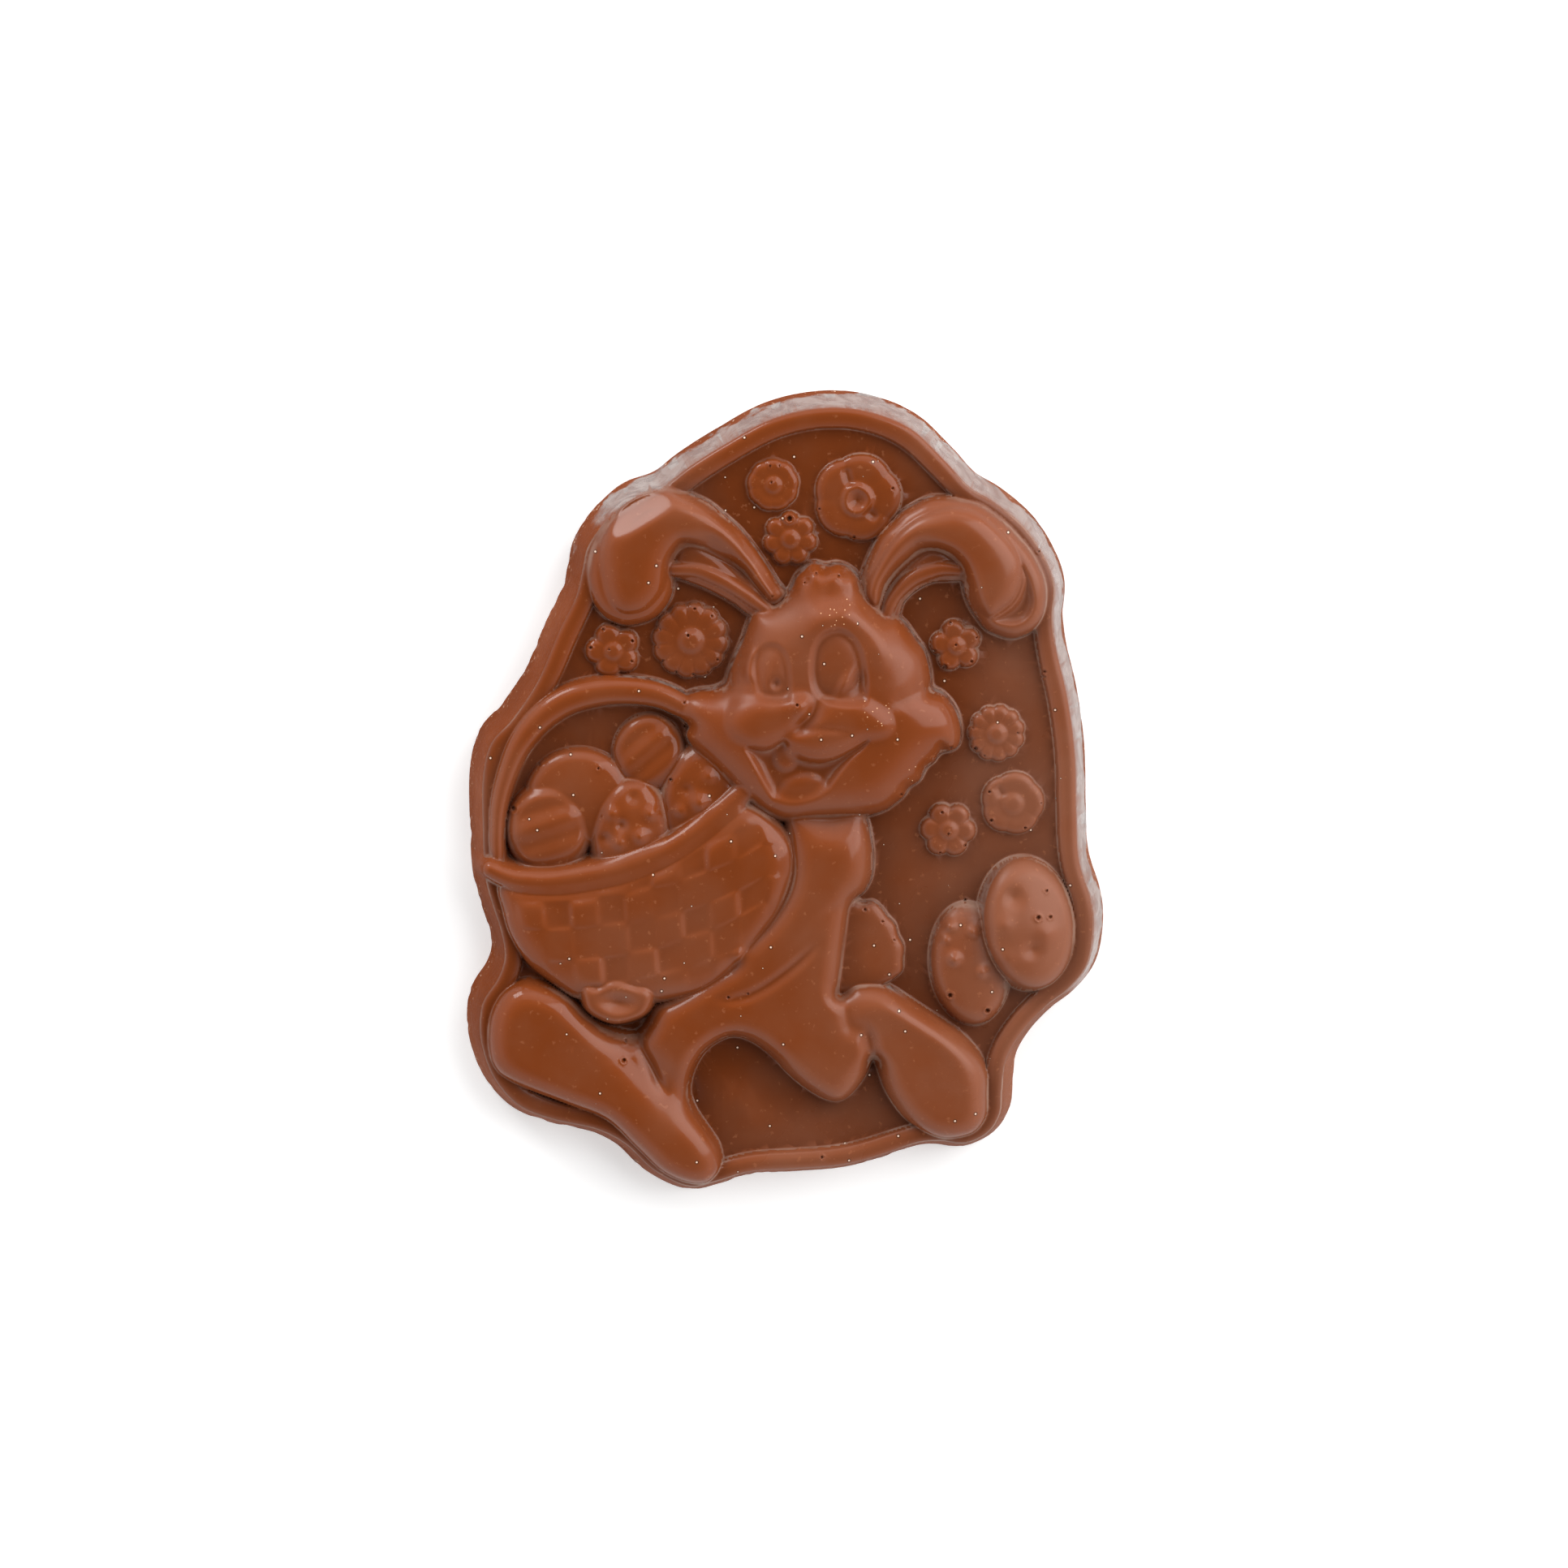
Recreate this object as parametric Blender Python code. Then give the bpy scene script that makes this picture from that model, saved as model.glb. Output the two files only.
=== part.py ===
"""A moulded milk chocolate plaque: a running rabbit with a basket of eggs, in relief on an egg-shaped plate.

It lies on its flat back, relief up, head towards +Y. The relief is one height over the plate for each
point, as a one-piece mould gives it: no undercuts, steep sides, and a small fillet at every foot.
Outlines are in millimetres, measured from the middle of the flat back.
"""

import bmesh
import bpy
import numpy as np
from mathutils import Matrix

MM = 0.001

# Driving sizes, in millimetres
FIELD_THICKNESS = 6.4
BORDER_CROWN = 1.5
BORDER_WIDTH = 2.7
BORDER_CROWN_IN = 1.2
BORDER_FALL = 0.3
WALL_DRAFT = 2.2
SIDE_SLOPE = 3.5
FOOT_FILLET = 0.4
EGG_SHOULDER = 1.9
PETAL_DISH = 0.28

# Fineness of the mesh
GRID_PITCH = 0.42
EDGE_CLEARANCE = 0.62
EVENING_PASSES = 40
RELAXED_RINGS = 4
RELAXING_PASSES = 12
WALL_RINGS = 3
TRIANGLES = 10400
SHARP_ANGLE = 1.2

# Milk chocolate, as a linear colour
CHOCOLATE_COLOUR = (0.20, 0.056, 0.022)
CHOCOLATE_ROUGHNESS = 0.38

# The plate's top edge, round the egg shape and round each form that reaches past it
PLATE_EDGE = [(5.0, 57.3), (11.7, 56.9), (18.2, 54.4), (23.3, 49.7), (27.1, 45.7), (30.9, 43.4),
              (35.1, 39.9), (38.0, 35.7), (39.7, 31.2), (39.5, 26.4), (40.1, 21.6), (41.8, 14.5),
              (43.0, 6.1), (43.3, -2.4), (43.8, -9.8), (45.8, -16.4), (46.1, -20.8), (45.2, -25.7),
              (42.5, -29.3), (39.2, -31.9), (35.7, -35.6), (33.3, -39.8), (32.7, -44.3), (32.4, -48.2),
              (30.6, -51.2), (27.1, -52.9), (23.1, -52.5), (19.8, -52.8), (13.4, -54.9), (8.3, -56.1),
              (1.5, -56.6), (-5.3, -57.0), (-10.1, -58.4), (-14.5, -59.2), (-19.8, -56.6), (-24.0, -52.6),
              (-28.3, -50.3), (-34.9, -48.7), (-39.7, -46.7), (-43.0, -43.2), (-44.8, -39.3), (-45.6, -35.0),
              (-45.1, -30.7), (-42.8, -27.0), (-41.8, -23.9), (-42.2, -20.3), (-43.6, -15.6), (-44.5, -11.7),
              (-44.8, -4.4), (-44.7, 3.2), (-43.4, 8.3), (-40.2, 11.9), (-36.4, 17.6), (-33.2, 24.9),
              (-30.8, 29.8), (-29.8, 33.7), (-28.9, 37.3), (-25.9, 41.4), (-22.6, 44.1), (-18.1, 45.8),
              (-14.1, 48.8), (-9.0, 52.0), (-2.1, 55.7)]

# Ears: a rolled front over a wider foot, a trough along its inner half, a hollow behind it, a back rim
LEFT_EAR = [(-1.2, 28.4), (-0.2, 29.4), (0.2, 30.4), (-0.8, 31.5), (-2.3, 33.8), (-4.4, 36.9),
            (-6.4, 39.5), (-8.9, 41.8), (-11.3, 43.7), (-13.7, 44.8), (-15.7, 45.4), (-18.1, 45.7),
            (-20.4, 45.1), (-23.0, 43.8), (-25.9, 41.2), (-27.8, 38.4), (-28.8, 36.1), (-29.2, 33.5),
            (-28.9, 31.0), (-28.2, 29.0), (-27.1, 27.4), (-25.7, 26.3), (-23.5, 25.6), (-21.1, 25.9),
            (-19.0, 26.8), (-17.6, 28.2), (-16.7, 29.8), (-16.4, 31.6), (-16.4, 33.9), (-15.8, 35.8),
            (-14.3, 36.8), (-12.5, 36.3), (-10.4, 35.3), (-8.0, 34.0), (-5.6, 32.1), (-3.9, 30.2),
            (-2.6, 28.4)]
LEFT_EAR_FRONT = [(-19.8, 45.5), (-17.5, 45.9), (-15.6, 45.4), (-13.7, 44.6), (-11.6, 43.3), (-9.3, 41.3),
                  (-7.2, 38.9), (-5.3, 36.1), (-3.5, 33.5), (-1.8, 31.0), (-1.3, 29.6), (-2.4, 29.4),
                  (-4.1, 31.3), (-6.1, 33.5), (-8.6, 35.4), (-11.2, 36.8), (-13.4, 37.6), (-15.1, 37.9),
                  (-16.2, 36.6), (-17.0, 34.8), (-17.4, 32.8), (-18.0, 30.9), (-19.3, 29.1), (-21.1, 27.8),
                  (-23.5, 27.5), (-25.1, 28.4), (-26.2, 30.3), (-26.8, 32.8), (-27.1, 35.4), (-26.8, 38.4),
                  (-25.9, 40.7), (-24.2, 43.0), (-22.1, 44.6)]
LEFT_EAR_TROUGH = [(-14.5, 38.9), (-11.9, 38.4), (-9.0, 36.8), (-6.3, 34.1), (-3.9, 30.8)]
LEFT_EAR_HOLLOW = [(-16.5, 34.3), (-14.9, 37.7), (-11.8, 37.7), (-8.0, 35.1), (-4.5, 32.0), (-1.9, 28.9),
                   (-2.7, 26.7), (-5.1, 27.0), (-7.7, 28.9), (-11.4, 30.9), (-14.9, 32.3), (-16.6, 32.9)]
LEFT_EAR_RIM = [(-16.4, 33.9), (-13.1, 33.8), (-10.2, 32.7), (-7.4, 31.2), (-4.5, 29.1), (-2.2, 27.4)]
RIGHT_EAR = [(10.9, 30.8), (11.0, 32.3), (11.7, 34.4), (12.7, 36.8), (14.0, 39.1), (15.9, 41.0),
             (17.1, 42.2), (18.9, 43.3), (20.7, 44.2), (22.2, 44.5), (24.6, 44.4), (27.0, 44.0),
             (28.8, 43.4), (30.6, 42.2), (32.4, 40.8), (34.2, 39.0), (36.0, 36.9), (37.2, 35.1),
             (38.2, 32.9), (38.7, 30.8), (38.6, 28.4), (38.0, 26.4), (36.8, 24.8), (34.9, 23.7),
             (33.1, 23.4), (31.3, 23.9), (29.5, 24.8), (28.3, 26.3), (27.3, 27.8), (26.5, 29.6),
             (26.0, 31.7), (25.3, 33.4), (24.2, 35.0), (22.6, 36.0), (21.2, 36.2), (19.3, 35.3),
             (17.5, 33.7), (16.1, 32.0), (15.0, 30.3), (14.3, 28.2), (13.9, 26.7), (12.2, 27.6),
             (11.2, 29.1)]
RIGHT_EAR_FRONT = [(11.5, 30.3), (12.1, 32.2), (13.1, 34.1), (14.2, 36.1), (15.6, 38.2), (17.1, 39.8),
                   (18.9, 41.2), (21.0, 42.2), (22.7, 42.8), (24.5, 43.1), (26.3, 42.9), (27.9, 42.3),
                   (29.6, 41.2), (31.2, 39.7), (32.6, 38.1), (33.8, 36.3), (34.4, 34.6), (34.5, 32.9),
                   (34.1, 31.0), (33.3, 29.4), (32.0, 28.2), (30.8, 27.4), (29.8, 26.8), (28.8, 27.4),
                   (27.8, 28.7), (27.1, 30.5), (26.5, 32.3), (25.9, 34.1), (24.8, 35.5), (23.4, 36.4),
                   (21.5, 36.9), (19.6, 36.5), (17.6, 34.9), (15.9, 33.2), (14.7, 31.3), (13.9, 29.2),
                   (13.1, 28.4), (12.1, 28.9)]
RIGHT_EAR_TROUGH = [(13.4, 27.9), (14.4, 31.0), (16.0, 34.1), (18.1, 36.5), (20.5, 37.9), (23.2, 37.9)]
RIGHT_EAR_CUP = [(34.5, 34.3), (35.4, 32.9), (36.1, 31.0), (36.5, 28.9), (36.1, 27.4), (35.2, 26.3),
                 (33.8, 25.7), (32.3, 25.7), (31.1, 26.0), (30.5, 26.5), (31.9, 27.4), (33.5, 28.7),
                 (34.5, 30.4), (35.0, 32.5)]
RIGHT_EAR_HOLLOW = [(13.7, 26.1), (14.1, 29.7), (15.5, 32.4), (17.5, 34.5), (20.5, 36.7), (23.5, 36.4),
                    (26.0, 34.8), (26.7, 32.4), (25.0, 32.1), (21.7, 31.9), (19.1, 30.6), (17.3, 28.8),
                    (16.7, 26.9), (15.8, 25.7)]
RIGHT_EAR_RIM = [(14.7, 26.4), (15.2, 28.4), (16.0, 30.1), (17.3, 31.5), (19.0, 32.7), (21.0, 33.5),
                 (23.0, 33.9), (25.4, 33.7)]

# Head, with its tuft between the ears and the fur of both cheeks
HEAD = [(0.3, 30.2), (1.1, 31.5), (1.7, 32.8), (2.6, 33.7), (3.6, 34.6), (4.5, 34.7), (6.0, 34.3),
        (7.6, 34.6), (9.2, 34.0), (10.6, 32.7), (11.4, 31.0), (12.9, 28.9), (14.8, 27.2), (16.5, 26.7),
        (17.9, 25.3), (19.3, 23.3), (20.4, 21.8), (21.0, 20.0), (21.4, 17.9), (21.6, 16.1), (22.9, 15.5),
        (24.2, 14.3), (25.3, 12.5), (25.9, 10.1), (25.8, 8.2), (25.2, 7.2), (24.2, 6.8), (22.8, 6.4),
        (22.0, 5.3), (20.8, 4.3), (19.8, 2.4), (18.3, 1.4), (17.5, 0.1), (16.2, -1.0), (14.7, -2.0),
        (12.9, -2.6), (10.5, -3.0), (8.1, -3.3), (5.5, -3.5), (2.7, -3.7), (0.3, -3.7), (-1.7, -3.3),
        (-3.6, -2.3), (-5.5, -0.8), (-7.8, 1.3), (-10.0, 3.6), (-12.2, 5.9), (-13.7, 7.6), (-14.6, 9.3),
        (-14.3, 10.8), (-15.4, 12.0), (-15.5, 13.7), (-14.7, 15.2), (-12.9, 15.9), (-10.5, 16.2),
        (-8.9, 16.9), (-8.3, 18.4), (-7.5, 20.7), (-6.3, 23.3), (-5.3, 26.1), (-4.5, 27.6), (-2.6, 28.2),
        (-0.9, 29.0)]
LEFT_CHEEK = [(-9.0, 11.8), (-8.4, 14.0), (-7.0, 15.3), (-4.6, 15.7), (-1.7, 15.6), (0.7, 15.8),
              (2.5, 15.9), (3.6, 15.2), (4.0, 13.9), (3.4, 12.4), (2.0, 11.0), (-0.3, 9.6), (-2.5, 8.7),
              (-4.9, 8.3), (-7.0, 8.9), (-8.4, 10.1)]
RIGHT_CHEEK = [(2.2, 11.5), (3.7, 13.4), (5.2, 15.0), (7.2, 15.8), (9.1, 16.0), (11.0, 15.7), (12.9, 14.8),
               (14.4, 13.6), (15.5, 12.1), (15.6, 10.6), (14.6, 9.6), (12.7, 9.1), (10.8, 8.9), (9.2, 7.9),
               (7.2, 7.1), (4.8, 6.7), (2.5, 7.1), (0.7, 8.2), (-0.4, 9.6), (0.6, 10.7)]
LIP_FOLD = [(-0.2, 9.8), (1.9, 10.5), (4.8, 10.9), (7.8, 10.7), (11.0, 10.2)]
MOUTH = [(-5.9, 8.1), (-2.8, 8.2), (-0.3, 9.2), (0.8, 7.8), (2.5, 6.7), (4.9, 6.3), (7.3, 6.7), (9.6, 7.8),
         (12.0, 9.1), (11.1, 7.8), (9.4, 6.3), (8.0, 4.6), (6.7, 2.6), (5.6, 1.0), (3.9, -0.0),
         (1.6, -0.6), (-0.5, -0.4), (-2.0, 0.5), (-3.2, 2.4), (-4.4, 4.8), (-5.3, 6.6)]
TOOTH = [(-2.0, 6.9), (-1.5, 7.8), (-0.1, 8.3), (1.3, 7.4), (1.8, 5.9), (1.0, 4.6), (-0.6, 4.3),
         (-1.8, 5.4)]
TONGUE = [(-1.6, 0.2), (-1.0, 2.2), (0.4, 3.5), (2.5, 4.2), (4.7, 3.9), (6.0, 2.5), (5.9, 1.0),
          (4.1, -0.2), (1.9, -0.8), (-0.3, -0.7)]
LEFT_EYE = [(-4.5, 16.5), (-4.9, 19.4), (-4.5, 21.5), (-3.6, 22.9), (-2.0, 23.4), (-0.6, 22.8),
            (0.3, 21.5), (0.7, 19.5), (0.8, 16.7), (0.1, 14.9), (-3.4, 14.9)]
RIGHT_EYE = [(3.8, 16.9), (3.4, 19.1), (3.5, 21.5), (4.1, 23.6), (5.3, 25.0), (7.0, 25.6), (8.7, 25.3),
             (10.3, 23.9), (11.2, 22.0), (11.7, 19.5), (12.0, 16.7), (11.3, 14.5), (7.8, 14.3),
             (4.9, 15.3)]
BROW = [(2.2, 22.5), (3.4, 25.1), (5.3, 26.9), (7.8, 27.6), (10.5, 26.8), (12.7, 24.6), (13.8, 21.3),
        (14.3, 17.4)]
EYE_LID = [(-5.2, 17.0), (-5.6, 19.4), (-5.2, 21.6), (-4.2, 23.0)]
PHILTRUM = [(4.3, 15.2), (4.2, 13.7), (3.5, 12.4), (2.2, 11.5), (0.1, 10.4)]
CHEEK_CREASE = [(21.7, 16.9), (19.1, 15.7), (16.5, 14.5), (15.3, 12.4)]
FUR_NOTCH = [(24.3, 5.8), (23.0, 7.6), (22.3, 9.4)]

# Basket, hands and body
BASKET = [(-42.3, -12.5), (-41.8, -16.8), (-40.7, -20.5), (-38.1, -24.7), (-33.6, -28.5), (-30.9, -30.1),
          (-25.1, -31.1), (-18.4, -30.7), (-12.3, -29.4), (-7.6, -26.3), (-3.3, -21.4), (-0.2, -16.8),
          (1.8, -11.0), (1.3, -6.8), (-1.5, -3.1), (-5.1, -0.6), (-8.1, -0.5), (-12.9, -4.5),
          (-19.9, -8.1), (-28.6, -11.1), (-36.8, -11.9)]
BASKET_RIM = [(-43.5, -10.2), (-41.6, -11.1), (-39.2, -11.8), (-34.5, -12.0), (-29.7, -11.4),
              (-23.7, -10.1), (-17.7, -7.6), (-13.0, -4.7), (-9.0, -1.6), (-6.0, 1.3), (-3.4, 4.4)]
BASKET_HANDLE = [(-42.5, -10.0), (-42.6, -5.4), (-42.2, -0.6), (-41.0, 3.9), (-39.1, 8.2), (-36.1, 11.9),
                 (-32.3, 14.5), (-27.7, 15.8), (-23.0, 16.0), (-18.6, 15.3), (-14.7, 13.5)]
ARM = [(0.3, -2.1), (5.1, -1.4), (11.1, -1.7), (12.0, -3.4), (12.6, -5.8), (13.0, -8.9), (12.8, -11.9),
       (11.8, -14.1), (10.4, -15.3), (9.7, -16.6), (7.5, -19.2), (5.3, -21.4), (2.7, -24.1), (0.0, -26.6),
       (-3.4, -28.9), (-6.4, -30.1), (-9.0, -30.4), (-11.8, -29.7), (-11.6, -28.7), (-9.9, -27.2),
       (-9.1, -25.3), (-8.2, -23.7), (-7.6, -22.2), (-6.0, -20.6), (-3.8, -18.6), (-1.9, -16.1),
       (-0.6, -13.7), (0.1, -10.9), (0.1, -7.6), (-0.1, -3.9)]
ARM_EDGE = [(6.2, -19.9), (2.8, -23.4), (-0.1, -25.9), (-3.4, -28.2), (-6.5, -29.6), (-9.1, -29.9),
            (-11.9, -29.3)]
FAR_HAND = [(-30.3, -28.5), (-29.5, -27.4), (-28.1, -27.7), (-26.8, -27.0), (-25.4, -26.5), (-23.8, -26.8),
            (-22.2, -27.4), (-20.6, -27.7), (-19.6, -28.8), (-19.9, -30.5), (-20.9, -32.0), (-22.7, -32.9),
            (-25.4, -33.4), (-27.8, -32.6), (-29.6, -31.2)]
BODY_AND_LEGS = [(-44.3, -37.8), (-44.4, -34.8), (-43.7, -31.6), (-41.8, -28.7), (-38.5, -27.3),
                 (-34.7, -28.1), (-31.7, -29.9), (-28.9, -32.7), (-26.1, -34.7), (-22.5, -35.6),
                 (-20.8, -34.0), (-19.5, -31.3), (-16.6, -29.5), (-11.8, -26.5), (-4.6, -21.6),
                 (2.1, -14.3), (10.3, -13.9), (9.8, -16.2), (9.4, -19.3), (8.8, -24.2), (8.4, -27.8),
                 (8.1, -29.6), (8.8, -29.3), (10.2, -28.2), (11.9, -27.9), (13.8, -28.1), (15.7, -28.8),
                 (19.6, -31.4), (25.7, -35.6), (28.9, -38.9), (30.3, -41.9), (30.5, -44.7), (30.3, -48.4),
                 (28.8, -50.8), (26.4, -51.8), (23.4, -51.9), (20.5, -50.7), (17.8, -48.5), (15.4, -45.0),
                 (14.0, -41.5), (13.2, -40.0), (11.7, -42.7), (10.0, -44.9), (8.4, -46.0), (6.3, -45.9),
                 (2.9, -43.9), (0.3, -41.6), (-1.9, -39.2), (-4.8, -37.0), (-7.6, -36.1), (-9.9, -36.8),
                 (-12.1, -38.5), (-13.7, -41.3), (-14.3, -44.5), (-13.6, -47.2), (-11.6, -50.3),
                 (-9.9, -53.1), (-9.7, -56.2), (-11.7, -58.4), (-14.8, -58.4), (-18.6, -56.6),
                 (-22.2, -53.1), (-26.8, -48.7), (-32.7, -46.2), (-38.7, -43.8), (-42.3, -41.8),
                 (-43.7, -40.0)]
LEG_GROOVE = [(-23.2, -33.7), (-22.0, -36.4), (-20.3, -39.6), (-18.9, -42.7), (-17.2, -45.3)]
LEG_SLOPE = [(-29.6, -31.8), (-24.8, -35.8), (-20.3, -40.3), (-15.5, -45.7), (-11.7, -51.4)]
RIGHT_LEG_RIDGE = [(11.9, -28.9), (16.9, -32.0), (23.0, -36.0), (26.6, -39.2), (27.9, -42.5)]
THIGH_FOLD = [(8.6, -29.9), (9.5, -33.1), (10.5, -36.8)]
THIGH_CREASE = [(11.5, -32.3), (12.4, -36.0), (13.1, -39.2), (14.4, -42.8)]
TAIL = [(7.5, -16.7), (10.1, -15.5), (11.6, -16.0), (13.0, -15.8), (14.2, -16.7), (15.2, -18.1),
        (16.3, -19.3), (16.8, -21.0), (17.6, -22.6), (17.5, -24.5), (17.4, -26.3), (16.2, -27.5),
        (15.0, -28.3), (13.5, -29.0), (9.9, -29.6), (6.3, -29.0)]

# Eggs: middle, half width, half length, lean in degrees, height of the side, rise of the crown above it,
# and for the loose ones how far the top falls to the right and towards the head, per millimetre
BASKET_EGGS = [((-30.6, -0.1), 7.9, 7.5, 0, 0.9, 1.9),
               ((-20.2, 6.6), 5.3, 5.9, 0, 0.6, 1.7),
               ((-12.7, -0.8), 6.0, 8.7, -8, 1.0, 2.2),
               ((-35.0, -4.6), 6.3, 7.0, 0, 1.2, 2.6),
               ((-22.9, -5.6), 6.1, 8.8, -4, 1.2, 2.8)]
LOOSE_EGGS = [((27.8, -25.3), 6.0, 9.2, 6, 0.9, 2.4, (0.10, 0.04)),
              ((36.4, -19.0), 6.9, 9.7, 9, 2.0, 2.8, (0.20, 0.12))]

# Flowers: middle, radius, petals, turn in degrees, height of the petals, depth of the notches between them,
# depth of the valleys that run in from the notches, and the dome (where negative, the dimple) in the heart
FLOWERS = [((-1.8, 46.1), 3.8, 9, 10, 1.3, 0.03, 0.10, 0.40),
           ((10.6, 44.2), 6.4, 5, 75, 1.6, 0.07, 0.20, 0.00),
           ((0.7, 38.2), 4.0, 7, 92, 1.4, 0.13, 0.35, 0.45),
           ((-25.3, 21.8), 4.0, 5, 108, 1.5, 0.17, 0.45, 0.40),
           ((-13.9, 23.3), 5.6, 12, 82, 1.5, 0.06, 0.20, 0.60),
           ((25.2, 22.4), 3.8, 5, 100, 1.6, 0.18, 0.50, 0.45),
           ((31.3, 9.3), 4.2, 11, 80, 1.4, 0.06, 0.20, 0.55),
           ((33.8, -1.2), 4.7, 5, 150, 1.4, 0.07, 0.15, 0.40),
           ((24.2, -5.1), 4.1, 6, 116, 1.5, 0.13, 0.45, 0.45)]
HEART_RING = [(11.6, 45.3), (10.5, 45.8), (9.3, 45.3), (8.8, 44.1), (9.1, 42.7), (10.4, 42.1),
              (11.7, 42.6), (12.3, 43.7)]
PETAL_FOLDS = [[(8.7, 48.9), (9.3, 46.8), (9.6, 45.8)], [(13.8, 41.1), (12.6, 41.9), (11.6, 42.6)],
               [(31.2, 1.8), (32.0, 0.6), (32.5, -0.3)]]


def curve_through(points, closed=True, spacing=0.6):
    """Evenly spaced points of a smooth curve through the given ones."""
    knots = np.asarray(points, float)
    if closed:
        knots = np.vstack([knots[-1:], knots, knots[:2]])
    else:
        knots = np.vstack([2 * knots[0] - knots[1], knots, 2 * knots[-1] - knots[-2]])
    chords = np.linalg.norm(np.diff(knots, axis=0), axis=1)
    time = np.concatenate([[0], np.cumsum(np.sqrt(chords))])
    slopes = (knots[2:] - knots[:-2]) / (time[2:] - time[:-2])[:, None]
    pieces = []
    for i in range(len(slopes) - 1):
        start, end = knots[i + 1], knots[i + 2]
        span = time[i + 2] - time[i + 1]
        count = max(2, round(chords[i + 1] / spacing))
        u = np.linspace(0, 1, count, endpoint=False)[:, None]
        pieces.append((2 * u**3 - 3 * u**2 + 1) * start + (u**3 - 2 * u**2 + u) * span * slopes[i]
                      + (3 * u**2 - 2 * u**3) * end + (u**3 - u**2) * span * slopes[i + 1])
    if not closed:
        pieces.append(knots[-2:-1])
    return np.vstack(pieces)


def depth_inside(x, y, loop):
    """How far points lie inside a closed loop: true near its edge, levelling off towards its middle."""
    pull = np.zeros_like(x)
    inside = np.zeros(x.shape, bool)
    for (ax, ay), (bx, by) in zip(loop, np.roll(loop, -1, axis=0)):
        length = np.hypot(bx - ax, by - ay)
        ux, uy = (bx - ax) / length, (by - ay) / length
        start = (x - ax) * ux + (y - ay) * uy
        end = start - length
        away = np.maximum(((x - ax) * uy - (y - ay) * ux) ** 2, 1e-8)
        pull += (start / np.sqrt(away + start**2) - end / np.sqrt(away + end**2)) / away
        if ay != by:
            inside ^= ((ay > y) != (by > y)) & (x < (bx - ax) * (y - ay) / (by - ay) + ax)
    depth = np.sqrt(2 / np.maximum(pull, 1e-12))
    return np.where(inside, depth, -depth)


def distance_along(x, y, path, radii):
    """Distance from an open path, as a share of the radius there, and how far along the path that is."""
    nearest = np.full(x.shape, np.inf)
    along = np.zeros(x.shape)
    for i, ((ax, ay), (bx, by)) in enumerate(zip(path[:-1], path[1:])):
        dx, dy = bx - ax, by - ay
        share = np.clip(((x - ax) * dx + (y - ay) * dy) / (dx * dx + dy * dy), 0, 1)
        radius = radii[i] + share * (radii[i + 1] - radii[i])
        distance = np.hypot(x - ax - share * dx, y - ay - share * dy) / radius
        along = np.where(distance < nearest, i + share, along)
        nearest = np.minimum(distance, nearest)
    return nearest, along / (len(path) - 1)


def evenly(values, share):
    """The values spread evenly from 0 to 1, read at share."""
    values = np.atleast_1d(values)
    return np.interp(share, np.linspace(0, 1, len(values)), values)


def rounded(share, fullness):
    """A rise from 0 to 1, steep at first and level at the end."""
    return (1 - (1 - np.clip(share, 0, 1)) ** 2) ** fullness


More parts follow.
